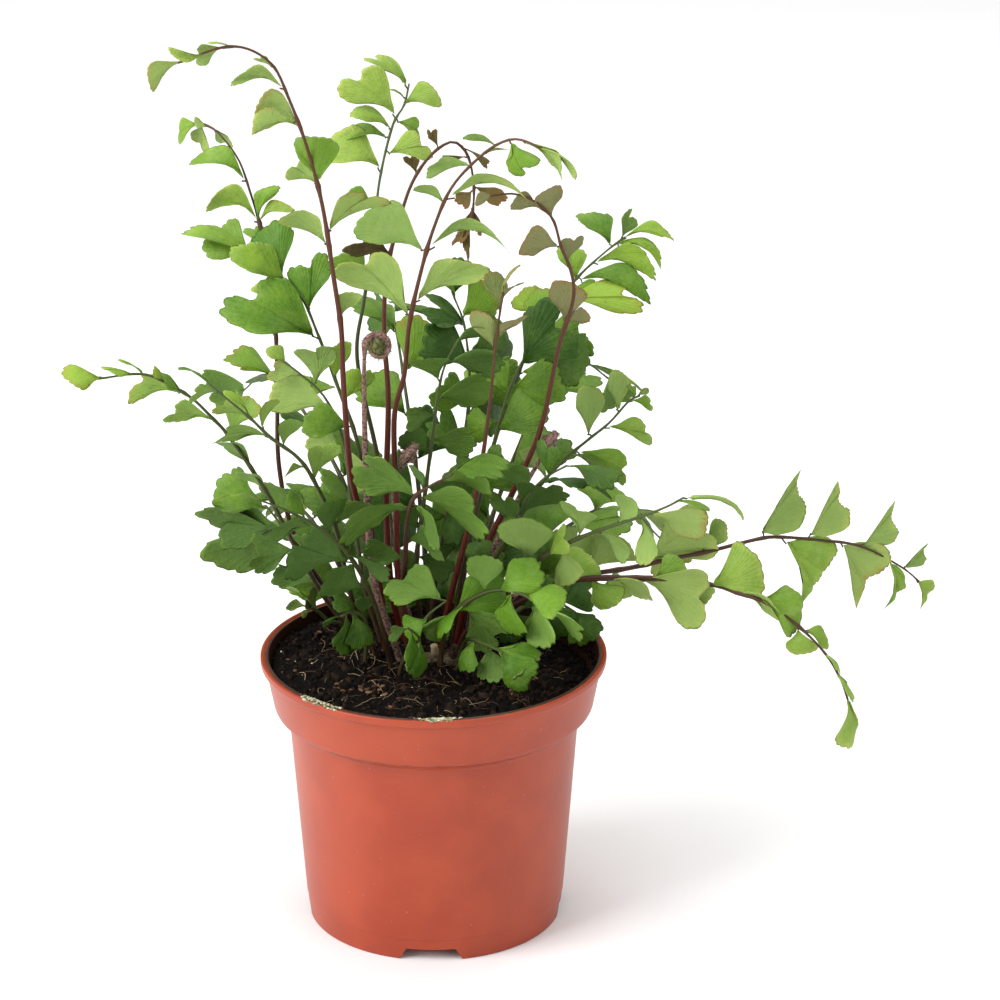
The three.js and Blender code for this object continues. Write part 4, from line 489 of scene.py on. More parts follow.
# The stems' colours at the soil and at the tip, and how much thicker they are along their middle.
STEM_LOOKS = {
    'red': {'foot': (0.09, 0.008, 0.005), 'tip': (0.085, 0.035, 0.016), 'swell': 0.6},
    'brown': {'foot': (0.05, 0.013, 0.008), 'tip': (0.06, 0.03, 0.016), 'swell': 0.5},
    'green': {'foot': (0.04, 0.018, 0.01), 'tip': (0.06, 0.085, 0.022), 'swell': 0.5},
}
RED_STEMS = {'tall_left_frond', 'tall_middle_frond', 'red_drooping_frond', 'red_arching_frond',
             'red_short_frond'}
BROWN_STEMS = {'right_long_frond', 'right_trailing_frond', 'centre_front_frond', 'thin_left_frond'}
# The inner wall's near-black colour above the soil: partly wet soil's staining, partly painted shade in that
# recess.
# Its edge rises with the inner wall and is ragged at the lip.
# foot: where it fades out below, against the soil's level
STAIN_AND_SHADE = {
    'slope': 0.138, 'wall_radius': 57, 'lip_from': 0.5, 'lip_part': 0.7, 'ragged': 0.9, 'soft': 0.4,
    'share': 0.95, 'foot': [0.85, 0.9],
}
# The near-black colour on the inner wall is wet soil's staining and painted shade together.
PLASTIC = {'dark': (0.3, 0.036, 0.01), 'pale': (0.36, 0.05, 0.015), 'flow': (0.45, 0.1, 0.04),
           'scuff': (0.55, 0.3, 0.2), 'dust': (0.6, 0.45, 0.35), 'stain_and_shade': (0.02, 0.009, 0.005)}
PEAT = {'dark': (0.003, 0.002, 0.0015), 'pale': (0.045, 0.025, 0.015), 'lump': (0.022, 0.011, 0.006)}
SCALY = {'brown': (0.05, 0.018, 0.012), 'pale_brown': (0.3, 0.18, 0.14), 'green': (0.03, 0.035, 0.006),
         'pale_green': (0.16, 0.17, 0.05)}
# Rough natural materials: dark, pale, the size of their patches, roughness, the height of their bumps.
GRAINS = {
    'hairs': [(0.1, 0.05, 0.03), (0.38, 0.3, 0.22), 0.6, 0.6, 0.05],
    'bark': [(0.03, 0.013, 0.007), (0.42, 0.33, 0.18), 1.2, 0.8, 0.5],
    'fibres': [(0.09, 0.035, 0.015), (0.4, 0.3, 0.18), 1, 0.7, 0.05],
    'bark_chips': [(0.035, 0.014, 0.006), (0.2, 0.11, 0.055), 0.7, 0.85, 0.5],
    'specks': [(0.5, 0.45, 0.36), (0.85, 0.82, 0.74), 0.6, 0.8, 0.1],
    'crust': [(0.09, 0.085, 0.03), (0.62, 0.6, 0.42), 0.7, 0.9, 0.2],
}

# --- Placing points -----------------------------------------------------------------------------

PITCH = math.radians(VIEW['pitch'])
LOOK = np.array([0, math.cos(PITCH), -math.sin(PITCH)])
RIGHT = np.array([1.0, 0, 0])
UP = np.array([0, math.sin(PITCH), math.cos(PITCH)])
EYE = np.array(VIEW['aim']) - LOOK * VIEW['distance']
ZENITH = np.array([0, 0, 1.0])


def ray(px, py):
    """The direction in which a point of the picture is seen."""
    across = (px - VIEW['middle']) / VIEW['focal']
    above = (VIEW['middle'] - py) / VIEW['focal']
    return LOOK + RIGHT * across + UP * above


def spot(px, py, depth):
    """The place in space of a point of the picture, at a depth behind the pot's axis."""
    seen = ray(px, py)
    return EYE + seen * (depth - EYE[1]) / seen[1]


def seen_apart(places, px, py):
    """How far places in space are seen from a point of the picture."""
    offset = places - EYE
    scale = VIEW['focal'] / (offset @ LOOK)
    x = VIEW['middle'] + scale * (offset @ RIGHT)
    y = VIEW['middle'] - scale * (offset @ UP)
    return np.hypot(x - px, y - py)


def unit(vector):
    """A vector's direction, with a length of 1."""
    return vector / np.linalg.norm(vector)


def soil_height(x, y):
    """The soil's surface: highest at the front left, with low lumps."""
    size = SOIL['lump_length']
    lumps = math.sin(x / size + 1) * math.cos(y / size) + math.sin((x / 2 + y) / size) / 2
    return SOIL['level'] - SOIL['fall_to_right'] * x - SOIL['fall_to_back'] * y + SOIL['lump'] * lumps


def soil_spot(px, py):
    """The place on the soil that is seen at a point of the picture."""
    seen = ray(px, py)
    height = SOIL['level']
    for _ in range(SPOT_ROUNDS):
        place = EYE + seen * (height - EYE[2]) / seen[2]
        height = soil_height(place[0], place[1])
    return place


# --- Draws --------------------------------------------------------------------------------------

def solid_draws(start):
    """The row of draws between -1 and 1 with which the solids' leaflets are placed."""
    state = start
    while True:
        state = (state * SOLID_DRAWS['times'] + SOLID_DRAWS['plus']) % SOLID_DRAWS['range']
        yield 2 * state / SOLID_DRAWS['range'] - 1


class Draw(random.Random):
    """Seeded draws, also many at a time."""

    def many(self, *shape):
        return np.array([self.random() for _ in range(math.prod(shape))]).reshape(shape)

    def either_way(self, *shape):
        """Draws between -1 and 1."""
        return self.many(*shape) * 2 - 1

    def tone(self):
        """The marks of a bit whose tone is left to chance."""
        return self.random(), 0, 0, 1


# --- Building meshes ----------------------------------------------------------------------------

class Shape:
    """Parts gathered into one mesh. Each point has a mark, four numbers that its material reads."""

    def __init__(self):
        self.points = []
        self.faces = []
        self.marks = []
        self.slots = []
        self.count = 0

    def add(self, points, faces, marks=(0, 0, 0, 0), slot=0):
        points = np.asarray(points, float)
        self.points.append(points)
        self.marks.append(np.broadcast_to(np.asarray(marks, float), (len(points), 4)))
        self.faces.extend([[corner + self.count for corner in face] for face in faces])
        self.slots.extend([slot] * len(faces))
        self.count += len(points)

    def mesh(self, name, materials, smooth=True):
        """The piece of this name, in metres, riding on the part's one body."""
        data = bpy.data.meshes.new(name)
        data.from_pydata(np.concatenate(self.points) * MM, [], self.faces)
        marks = data.attributes.new('mark', 'FLOAT_COLOR', 'POINT')
        marks.data.foreach_set('color', np.concatenate(self.marks).astype(np.float32).ravel())
        for material in materials:
            data.materials.append(material)
        data.polygons.foreach_set('material_index', self.slots)
        data.polygons.foreach_set('use_smooth', [smooth] * len(self.faces))
        data.update()
        piece = bpy.data.objects.new(name, data)
        bpy.context.scene.collection.objects.link(piece)
        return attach(piece, 'root')


def grid_faces(rows, columns, closed):
    """The faces between rows of points. In a closed grid, each row runs round."""
    faces = []
    for i in range(rows - 1):
        for j in range(columns if closed else columns - 1):
            k = (j + 1) % columns
            a, b = i * columns + j, i * columns + k
            faces.append([a, b, b + columns, a + columns])
    return faces


def circle(sides):
    """Angles evenly round a circle."""
    return np.arange(sides) * 2 * math.pi / sides


def marks_along(values):
    """The marks of a stem, whose first number is its own at each point."""
    return np.array([[value, 0, 0.5, 1] for value in values])


def frames(line):
    """Two directions across a line at each of its points, that turn with it as little as can be."""
    tangents = np.gradient(line, axis=0)
    tangents /= np.linalg.norm(tangents, axis=1, keepdims=True)
    normal = np.array(TUBE['first_normal'])
    normals = []
    for tangent in tangents:
        normal = unit(normal - tangent * (normal @ tangent))
        normals.append(normal)
    normals = np.array(normals)
    return tangents, normals, np.cross(tangents, normals)


def add_tube(shape, line, radii, sides, marks, slot=0, groove=0):
    """A tube along a line with rounded ends, its radius its own at each point."""
    tangents, normals, binormals = frames(line)
    ends = np.array(TUBE['ends'])
    reach = (1 - ends) * TUBE['reach']
    starts = line[0] - tangents[0] * radii[0] * reach[:, None]
    stops = line[-1] + tangents[-1] * radii[-1] * reach[::-1, None]
    line = np.concatenate([starts, line, stops])
    radii = np.concatenate([radii[0] * ends, radii, radii[-1] * ends[::-1]])[:, None]
    both_ends = ((len(ends), len(ends)), (0, 0))
    normals = np.pad(normals, both_ends, 'edge')[:, None]
    binormals = np.pad(binormals, both_ends, 'edge')[:, None]
    angles = circle(sides)
    dent = 1 - groove * np.exp(-((angles - math.pi) / TUBE['groove_width']) ** 2)
    rings = (line[:, None] + normals * (radii * np.cos(angles) * dent)[..., None]
             + binormals * (radii * np.sin(angles) * dent)[..., None])
    faces = grid_faces(len(line), sides, True)
    last_ring = (len(line) - 1) * sides
    faces += [list(range(sides))[::-1], list(range(last_ring, last_ring + sides))]
    marks = np.asarray(marks, float)
    if marks.ndim == 2:
        marks = np.repeat(np.pad(marks, both_ends, 'edge'), sides, axis=0)
    shape.add(rings.reshape(-1, 3), faces, marks, slot)


def add_hair(shape, foot, direction, length, radius, marks, slot=0):
    """A hair: a thin three-sided spike that droops."""
    direction = unit(direction)
    across = unit(np.cross(direction, HAIR['aside']))
    other = np.cross(direction, across)
    corners = [foot + radius * (across * math.cos(a) + other * math.sin(a)) for a in HAIR['angles']]
    tip = foot + direction * length - ZENITH * HAIR['droop'] * length
    shape.add([*corners, tip], [[0, 1, 3], [1, 2, 3], [2, 0, 3], [2, 1, 0]], marks, slot)


def add_grain(shape, place, size, squash, draw, marks=None, level=1):
    """A crumb: a ball with its points moved by chance, flattened by squash. A flat one lies level."""
    marks = marks or draw.tone()
    ball = bmesh.new()
    bmesh.ops.create_icosphere(ball, subdivisions=level, radius=1)
    points = np.array([v.co for v in ball.verts])
    faces = [[v.index for v in face.verts] for face in ball.faces]
    ball.free()
    points = points * (1 + GRAIN['rough'] * (draw.many(len(points))[:, None] - 0.5))
    points *= size * (GRAIN['least'] + GRAIN['uneven'] * draw.many(3)) * np.array([1, 1, squash])
    turn = Quaternion(draw.many(4) - 0.5).normalized()
    if squash < GRAIN['flat']:
        turn = Quaternion(ZENITH, draw.random() * GRAIN['turn'])
    shape.add(points @ np.array(turn.to_matrix()).T + place, faces, marks)


# --- Stems --------------------------------------------------------------------------------------

def curve_points(points, count):
    """Points along the smooth curve through points, evenly by its own parameter."""
    points = np.asarray(points, float)
    ends = np.concatenate([[2 * points[0] - points[1]], points, [2 * points[-1] - points[-2]]])
    places = np.linspace(0, len(points) - 1, count + 1)
    at = np.minimum(places.astype(int), len(points) - 2)
    w = (places - at)[:, None]
    before, start, end, after = (ends[at + i] for i in range(4))
    leave = STEM['tension'] * (end - before)
    arrive = STEM['tension'] * (after - start)
    bend = 3 * (end - start) - 2 * leave - arrive
    turn = 2 * (start - end) + leave + arrive
    return start + leave * w + bend * w ** 2 + turn * w ** 3


def coil_points(coil, steps, turns, inner):
    """The coil's middle line, from the stem's top round and in to its middle."""
    middle = spot(*coil['middle'])
    lean = math.radians(COIL['lean'])
    upward = RIGHT * math.cos(lean) + UP * math.sin(lean) if coil['edge_on'] else UP
    onward = LOOK if coil['edge_on'] else RIGHT
    share = np.linspace(0, 1, steps + 1)[:, None]
    angle = math.pi - 2 * math.pi * turns * share
    reach = coil['radius'] + (inner - coil['radius']) * share
    return middle + onward * reach * np.cos(angle) + upward * reach * np.sin(angle)


def stem_curve(plant):
    """The stem's middle line: straight up out of the soil, then through its points."""
    x, y = plant['root']
    surface = soil_height(x, y)
    if 'path' in plant:
        above = plant['path']
    else:
        count = len(plant['stem'])
        depths = [y + plant['lean'] * ((i + 1) / count) ** STEM['lean_power'] for i in range(count)]
        above = [spot(px, py, depth) for (px, py), depth in zip(plant['stem'], depths)]
    if 'coil' in plant:
        above.append(coil_points(plant['coil'], COIL['steps'], COIL['turns'], COIL['inner_radius'])[0])
    points = [[x, y, surface - STEM['root_depth']], [x, y, surface], *above]
    return curve_points(points, STEM['fineness'])


def evenly(line, count, bend_length=0):
    """Points evenly along a line of points. A bend counts as more length, by its angle."""
    steps = np.diff(line, axis=0)
    lengths = np.linalg.norm(steps, axis=1)
    cosines = np.sum(steps[1:] * steps[:-1], axis=1) / (lengths[1:] * lengths[:-1])
    bends = np.concatenate([[0], np.arccos(np.clip(cosines, -1, 1))])
    reached = np.concatenate([[0], np.cumsum(lengths + bend_length * bends)])
    wanted = np.linspace(0, reached[-1], count)
    points = np.stack([np.interp(wanted, reached, line[:, axis]) for axis in range(3)], 1)
    return points, reached[-1]


def cad_stem_line(plant):
    """The solid stem's middle line, in straight steps that are shorter where it bends."""
    fine = stem_curve(plant)
    _, total = evenly(fine, 2, STEM['bend_length'])
    return evenly(fine, math.floor(total / STEM['step'] + 0.5) + 1, STEM['bend_length'])[0]


def stem_radius(plant, along):
    """The stem's radius, from the soil at 0 to the tip at 1."""
    tip = COIL['outer_thickness'] if 'coil' in plant else STEM['tip_radius']
    return plant['girth'] / 2 + (tip - plant['girth'] / 2) * along ** STEM['taper']


def stem_kind(name):
    """The name of a stem's colours."""
    return 'red' if name in RED_STEMS else 'brown' if name in BROWN_STEMS else 'green'


def fine_stem(plant):
    """The stem's smooth middle line, how far along it each point is, and its radius there."""
    fine = stem_curve(plant)
    length = np.linalg.norm(np.diff(fine, axis=0), axis=1).sum()
    line = evenly(fine, round(length / FINE_STEM['step']))[0]
    along = np.linspace(0, 1, len(line))
    swell = 1 + STEM_LOOKS[stem_kind(plant['name'])]['swell'] * np.sin(math.pi * along)
    return line, along, stem_radius(plant, along) * FINE_STEM['taper'] ** along * swell


# --- Leaflets -----------------------------------------------------------------------------------

def read_leaflet(samples, leaf):
    """Where a leaflet grows and where its tip is, with the stem's direction there."""
    root_x, root_y, tip_x, tip_y, roll, wide, bow = [*leaf, *[0, 1, None][len(leaf) - 4:]]
    apart = seen_apart(samples, root_x, root_y)
    at = min(max(int(np.argmin(apart)), 1), len(samples) - 2)
    root = samples[at]
    ahead = unit(samples[at + 1] - samples[at - 1])
    tip = spot(tip_x, tip_y, root[1])
    return {'root': root, 'ahead': ahead, 'tip': tip, 'roll': roll, 'wide': wide, 'bow': bow, 'seen': True}


def spread_leaflets(samples, spread, draw):
    """Leaflets set by rule: left and right in turn, the last one at the stem's tip."""
    start, count, length = spread
    leaflets = []
    for i in range(count):
        share = i / (count - 1)
        along = start + (1 - start) * share
        at = min(math.floor(along * (len(samples) - 1) + 0.5), len(samples) - 2)
        ahead = unit(samples[at + 1] - samples[at - 1])
        across = unit(np.cross(ahead, ZENITH)) * (1 if i % 2 else -1)
        is_last = i == count - 1
        forward = SPREAD['tip_forward'] if is_last else SPREAD['forward'] + SPREAD['more_forward'] * share
        upward = SPREAD['upward'] + SPREAD['upward_draw'] * next(draw)
        heading = unit(across + ahead * forward + ZENITH * upward)
        reach = length * (1 - SPREAD['shorter'] * share) * (1 + SPREAD['length_draw'] * next(draw))
        tip = samples[at] + heading * reach
        leaflets.append({'root': samples[at], 'ahead': ahead, 'tip': tip, 'roll': 0, 'wide': 1, 'bow': None,
                         'seen': False})
    return leaflets


def leaflets_of(frond, draw):
    """A frond's leaflets, each with its own sway, width and bow."""
    samples = evenly(cad_stem_line(frond), STEM['samples'])[0]
    if 'spread' in frond:
        leaflets = spread_leaflets(samples, frond['spread'], draw)
    else:
        leaflets = [read_leaflet(samples, leaf) for leaf in frond['leaves']]
    for i, leaflet in enumerate(leaflets):
        leaflet['sway'] = frond['tilt'] + SWAY * next(draw)
        leaflet['width'] = frond['width'] * leaflet['wide']
        leaflet['is_sickle'] = i >= len(leaflets) - frond['sickles']
        if leaflet['bow'] is None:
            leaflet['bow'] = frond['bow']
    return leaflets


def blade_axes(leaflet, swing):
    """The blade's own axes: along to the tip, across towards the frond's tip, and out of its face."""
    along = leaflet['tip'] - leaflet['root']
    slope = min(max(leaflet['sway'] + swing, -STEEPEST), STEEPEST)
    aside = np.cross(leaflet['ahead'], along)
    if leaflet['seen']:
        aside = LOOK * (aside @ LOOK)
    along = along + aside * math.tan(math.radians(slope))
    length = np.linalg.norm(along)
    along = along / length
    across = leaflet['ahead'] - along * (leaflet['ahead'] @ along)
    if np.linalg.norm(across) < BLADE['least_across']:
        across = np.cross(LOOK, along)
    turn = Quaternion(Vector(along), math.radians(leaflet['roll']))
    across = np.array(turn @ Vector(unit(across)))
    return along, across, np.cross(along, across), length


def blade_places(leaflet, axes, u, v):
    """Places on a blade's middle surface, arched and bowed from root to tip, its broad side bent down."""
    along, across, out, length = axes
    upward = -1 if out[2] < 0 else 1
    middle = 4 * u * (1 - u)
    sideways = v * leaflet['width']
    bowed = sideways + leaflet['bow'] * middle
    rise = upward * (BLADE['arch'] * middle - BLADE['cup'] * sideways ** 2)
    return (leaflet['root'] + along * (length * u)[..., None] + across * (length * bowed)[..., None]
            + out * (length * rise)[..., None])


def fit_swing(leaflet, tree):
    """The blade's axes with the swing that puts its corners on the solid's, or None."""
    best, best_axes = FARTHEST_FIT, None
    for swing in SWINGS:
        axes = blade_axes(leaflet, swing)
        _, _, out, length = axes
        corners = CAD_SMALL_FAN if length < BLADE['small'] else CAD_FAN
        u, v = np.array(CAD_SICKLE if leaflet['is_sickle'] else corners).T
        places = blade_places(leaflet, axes, u, v) + out * BLADE['thickness'] / 2
        apart = np.median([tree.find(place * MM)[2] for place in places]) / MM
        if apart < best:
            best, best_axes = apart, axes
    return best_axes


def pick_outline(leaflet, length, draw):
    """A leaflet's outline: a sickle near the tip, and otherwise a round or a lobed fan."""
    if leaflet['is_sickle']:
        return SICKLE
    is_round = leaflet['wide'] < NARROW_LEAF or length < BLADE['small'] and draw.random() < ROUND_SHARE
    return ROUND_FAN if is_round else LOBED_FAN


def fine_outline(outline, teeth, draw):
    """Places on the outline, some to a tooth, and how far along the toothed edge each is, 0 to 1."""
    points = np.array(outline['points'])
    points = points + draw.either_way(*points.shape) * LEAF['play']
    fine = curve_points(np.pad(points, ((0, 0), (0, 1))), LEAF['fineness'])
    reached = np.concatenate([[0], np.cumsum(np.linalg.norm(np.diff(fine, axis=0), axis=1))])
    places = np.linspace(0, len(points) - 1, len(fine))
    first, last = np.interp(outline['teeth'], places, reached)
    wanted = np.concatenate([
        np.linspace(0, first, LEAF['plain'], endpoint=False),
        np.linspace(first, last, LEAF['tooth_columns'] * teeth + 1),
        np.linspace(last, reached[-1], LEAF['plain'] + 1)[1:],
    ])
    u, v = (np.interp(wanted, reached, fine[:, axis]) for axis in range(2))
    return u, v, np.clip((wanted - first) / (last - first), 0, 1)


def toothed_reach(toothed, teeth, style, draw):
    """How far the rim reaches against its plain outline, in and out with the teeth and the lobes."""
    bumps = np.abs(np.sin(np.pi * teeth * toothed)) ** LEAF['sharp'] - LEAF['tooth_middle']
    lobes = np.abs(np.sin(np.pi * (style['lobes'] * toothed + draw.random()))) - LEAF['lobe_middle']
    fade = np.clip(LEAF['fade'] * np.sin(np.pi * toothed), 0, 1)
    return 1 + (style['depth'] * bumps + style['lobe_depth'] * lobes) * fade


def blade_rows():
    """How far each row of a blade's points is from its stalk to its rim, closest at the rim."""
    return 1 - (1 - np.arange(LEAF['rows'] + 1) / LEAF['rows']) ** LEAF['rows_power']


def blade_grid(leaflet, axes, hue, draw):
    """Rows of places from the stalk to the toothed rim, bent, twisted and pleated, by row and column."""
    _, _, out, length = axes
    teeth = TOOTHING[hue]['teeth'] if length > SMALL_LEAF else SMALL_TEETH
    u, v, toothed = fine_outline(pick_outline(leaflet, length, draw), teeth, draw)
    reach = toothed_reach(toothed, teeth, TOOTHING[hue], draw)
    share = np.linspace(0, 1, len(u))
    phase, waves = draw.uniform(0, 2 * math.pi), draw.uniform(*LEAF['waves'])
    curl = LEAF['curl'] * draw.uniform(LEAF['least_curl'], 1) * (1 if out[2] < 0 else -1)
    twist = LEAF['twist'] * draw.uniform(-1, 1)
    fuller = 1 if leaflet['is_sickle'] else LEAF['fuller']
    pleats = np.cos(2 * np.pi * LEAF['pleats'] * share) * math.sqrt(length / LEAF['pleated_length'])
    grid = []
    for r in blade_rows():
        near = STALK['from'] + (u * reach - STALK['from']) * r
        wide = v * fuller * reach * r ** LEAF['spread']
        wave = LEAF['wave'] * r ** 3 * np.sin(2 * np.pi * waves * share + phase)
        bend = curl * near ** 3 + twist * near * wide + wave
        rise = LEAF['pleat_height'] * r * pleats + bend * length
        grid.append(blade_places(leaflet, axes, near, wide) + out * rise[:, None])
    return np.array(grid), share


def blade_faces(rows, columns):
    """The faces of a blade's two sides, which share their points at the rim, and of its open edges."""
    count, rim = rows * columns, (rows - 1) * columns
    upper = grid_faces(rows, columns, False)
    lower = [[corner + count if corner < rim else corner for corner in face[::-1]] for face in upper]
    sides = []
    for row in range(rows - 1):
        for column in (0, columns - 1):
            a, b = row * columns + column, (row + 1) * columns + column
            side = [a, b, b + count, a + count] if b < rim else [a, b, a + count]
            sides.append(side if column == 0 else side[::-1])
    sides += [[j + 1, j, j + count, j + 1 + count] for j in range(columns - 1)]
    return upper + lower + sides


def add_blade(shape, leaflet, axes, hue, draw):
    """A leaflet's blade. Its marks: how far round, how far out, its tone and whether it faces up."""
    out = axes[2]
    grid, share = blade_grid(leaflet, axes, hue, draw)
    rows, columns = grid.shape[:2]
    radial = np.repeat(blade_rows()[:, None], columns, 1)
    half = out * (LEAF['thickness'] / 2 * np.sqrt(1 - radial ** LEAF['rim_power']))[..., None]
    # painted shade: the nearer a leaflet grows to the crown's middle, the lower and darker its tone
    outward = np.linalg.norm(leaflet['root'] - CROWN) / PALE_FROM
    tone = draw.random() * min(max(outward, LEAST_PALE), 1)
    points = np.concatenate([(grid + half).reshape(-1, 3), (grid - half)[:-1].reshape(-1, 3)])
    marks = np.stack([np.broadcast_to(share, radial.shape), radial, np.full(radial.shape, tone),
                      np.full(radial.shape, out[2] > 0)], -1)
    under = marks[:-1].copy()
    under[..., 3] = 1 - under[..., 3]
    marks = np.concatenate([marks.reshape(-1, 4), under.reshape(-1, 4)])
    shape.add(points, blade_faces(rows, columns), marks)


def add_stalk(shape, leaflet, axes, line, along):
    """The leaflet's stalk, curved from the stem into the blade's foot."""
    start_at = int(np.argmin(np.linalg.norm(line - leaflet['root'], axis=1)))
    start = line[start_at]
    onward, _, out, length = axes
    foot = leaflet['root'] + onward * length * STALK['from'] * STALK['into']
    foot = foot + out * (1 if out[2] > 0 else -1) * BLADE['arch'] * 4 * STALK['from'] * length
    bend = start + (onward * np.linalg.norm(foot - start) + leaflet['ahead']) * STALK['bend']
    t = np.linspace(0, 1, len(STALK['radii']))[:, None]
    curve = start * (1 - t) ** 2 + bend * 2 * t * (1 - t) + foot * t ** 2
    radii = STALK['radius'] * np.array(STALK['radii'])
    add_tube(shape, curve, radii, STALK['sides'], (along[start_at], 0.5, 0.5, 0), 1)
    return start_at


def frond_piece(frond, index):
    """A frond: its leaflets on their stalks, and its grooved stem, swollen where they grow."""
    name = frond['name']
    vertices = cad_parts[name].data.vertices
    tree = KDTree(len(vertices))
    for i, vertex in enumerate(vertices):
        tree.insert(vertex.co, i)
    tree.balance()
    draw = Draw(name)
    line, along, radii = fine_stem(frond)
    shape = Shape()
    knots = []
    for leaflet in leaflets_of(frond, solid_draws(index + 1)):
        axes = fit_swing(leaflet, tree)
        if axes is None:
            continue
        add_blade(shape, leaflet, axes, frond['hue'], draw)
        knots.append(add_stalk(shape, leaflet, axes, line, along))
    for knot in knots:
        away = (np.arange(len(line)) - knot) * FINE_STEM['step']
        radii = radii + radii * FINE_STEM['knot'] * np.exp(-(away / FINE_STEM['knot_length']) ** 2)
    add_tube(shape, line, radii, FINE_STEM['sides'], marks_along(along), 1, FINE_STEM['groove'])
    leaves = LEAF_MATERIALS[frond.get('look', frond['hue'])]
    piece = shape.mesh(name + '_leaves', [leaves, STEM_MATERIALS[stem_kind(name)]])
    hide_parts(name)
    'leaf_' + frond['hue']


# --- Young fronds still rolled up, and the rhizome ----------------------------------------------

def off_line(line_frames, at, draw):
    """A direction straight away from a line at one of its points, by chance."""
    _, normals, binormals = line_frames
    angle = draw.uniform(0, 2 * math.pi)
    return normals[at] * math.cos(angle) + binormals[at] * math.sin(angle)


def add_hairs(shape, line, radii, draw, count, length, dense_from):
    """Hairs and scales that stand off a stem, closest together beyond a part of its length."""
    line_frames = frames(line)
    for _ in range(count):
        is_dense = draw.random() < STEM_HAIRS['crowded']
        at = draw.randrange(int(dense_from * (len(line) - 1)) if is_dense else 0, len(line))
        off = off_line(line_frames, at, draw)
        direction = off + line_frames[0][at] * draw.uniform(*STEM_HAIRS['lean'])
        foot = line[at] + off * radii[at] * STEM_HAIRS['sunk']
        reach = length * draw.uniform(*STEM_HAIRS['lengths'])
        add_hair(shape, foot, direction, reach, STEM_HAIRS['radius'], draw.tone(), 1)


def add_buds(shape, head, coil, radii, green, draw):
    """The folded leaflets of a rolled-up frond: some along its coil, and a crowd in the middle."""
    middle = spot(*head['coil']['middle'])
    for place, radius in zip(coil, radii):
        for _ in range(BUDS['a_step']):
            inward = unit(middle - place + draw.either_way(3)) * radius * BUDS['inward']
            size = radius * draw.uniform(*BUDS['sizes'])
            marks = (green, 0, draw.random(), 1)
            add_grain(shape, place + inward, size, BUDS['squash'], draw, marks, BUDS['level'])
    reach = head['coil']['radius'] * BUDS['core_radius']
    for _ in range(BUDS['core']):
        away = unit(np.array([draw.gauss(0, 1) for _ in range(3)])) * reach
        away = away * draw.uniform(*BUDS['core_reach'])
        size = reach * draw.uniform(*BUDS['core_sizes'])
        marks = (2 * green, 0, draw.random(), 1)
        add_grain(shape, middle + away, size, BUDS['squash'], draw, marks, BUDS['level'])


def fiddlehead_piece(head):
    """A rolled-up frond: its scaly stem, its coil with the folded leaflets, and its hairs."""
    draw = Draw(head['name'])
    line, along, radii = fine_stem(head)
    coil = coil_points(head['coil'], FIDDLE['steps'], FIDDLE['turns'], FIDDLE['inner_radius'])
    coil_share = np.linspace(0, 1, len(coil))
    thick = COIL['outer_thickness'] * FIDDLE['swell']
    coil_radii = thick + (FIDDLE['inner_thickness'] - thick) * coil_share
    whole = np.concatenate([line[:-1], coil])
    whole_radii = np.pad(np.concatenate([radii[:-1], coil_radii]), FIDDLE['blend'], 'edge')
    window = 2 * FIDDLE['blend'] + 1
    whole_radii = np.convolve(whole_radii, np.ones(window) / window, 'valid')
    green = 0 if head['coil']['edge_on'] else FIDDLE['stem_green']
    greening = np.concatenate([along[:-1], 1 + coil_share]) * green
    shape = Shape()
    add_tube(shape, whole, whole_radii, FIDDLE['sides'], marks_along(greening))
    add_buds(shape, head, coil, coil_radii, greening[-1], draw)
    add_hairs(shape, whole, whole_radii, draw, FIDDLE['hairs'], FIDDLE['hair_length'], len(line) / len(whole))
    piece = shape.mesh(head['name'] + '_hairy', [FIDDLE_MATERIAL, GRAIN_MATERIALS['hairs']])
    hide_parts(head['name'])


def add_stub(shape, foot, lean, paleness, draw):
    """An old stub on the rhizome, narrower and paler or darker towards its top."""
    share = np.linspace(0, 1, STUB['steps'])
    line = foot + np.array([*lean, RHIZOME['stub_height']]) * share[:, None]
    ripple = STUB['ripple'] * np.sin(share * STUB['ripples'])
    radii = RHIZOME['stub_radius'] * (STUB['foot'] - STUB['taper'] * share - ripple)
    add_tube(shape, line, radii, STUB['sides'], marks_along(share * paleness))
    add_hairs(shape, line[:-2], radii, draw, STUB['hairs'], STUB['hair_length'], 0)


def rhizome_piece():
    """The creeping stem, knobbly and clad in scales, with two old stubs."""
    draw = Draw('rhizome')
    points = np.array([[x, y, soil_height(x, y) + RHIZOME['rise']] for x, y in RHIZOME['points']])
    line = evenly(curve_points(points, KNOBBLY['fineness']), KNOBBLY['steps'])[0]
    share = np.linspace(0, 1, len(line))
    waves = [high * np.sin(share * pace + start) for high, pace, start in KNOBBLY['waves']]
    radii = RHIZOME['radius'] * (KNOBBLY['girth'] + sum(waves))
    shape = Shape()
    add_tube(shape, line, radii, KNOBBLY['sides'], KNOBBLY['marks'])
    for (at, *lean), paleness in zip(RHIZOME['stubs'], STUB['paleness']):
        add_stub(shape, points[at], lean, paleness, draw)
    line_frames = frames(line)
    for _ in range(SCALES['count']):
        at = draw.randrange(len(line))
        off = off_line(line_frames, at, draw)
        direction = off * SCALES['off'] + line_frames[0][at] * draw.choice([-1, 1])
        foot = line[at] + off * radii[at] * SCALES['sunk']
        add_hair(shape, foot, direction, draw.uniform(*SCALES['lengths']), SCALES['radius'], draw.tone(), 1)
    piece = shape.mesh('rhizome_scaly', [GRAIN_MATERIALS['bark'], GRAIN_MATERIALS['hairs']])
    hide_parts('rhizome')


# --- The pot ------------------------------------------------------------------------------------

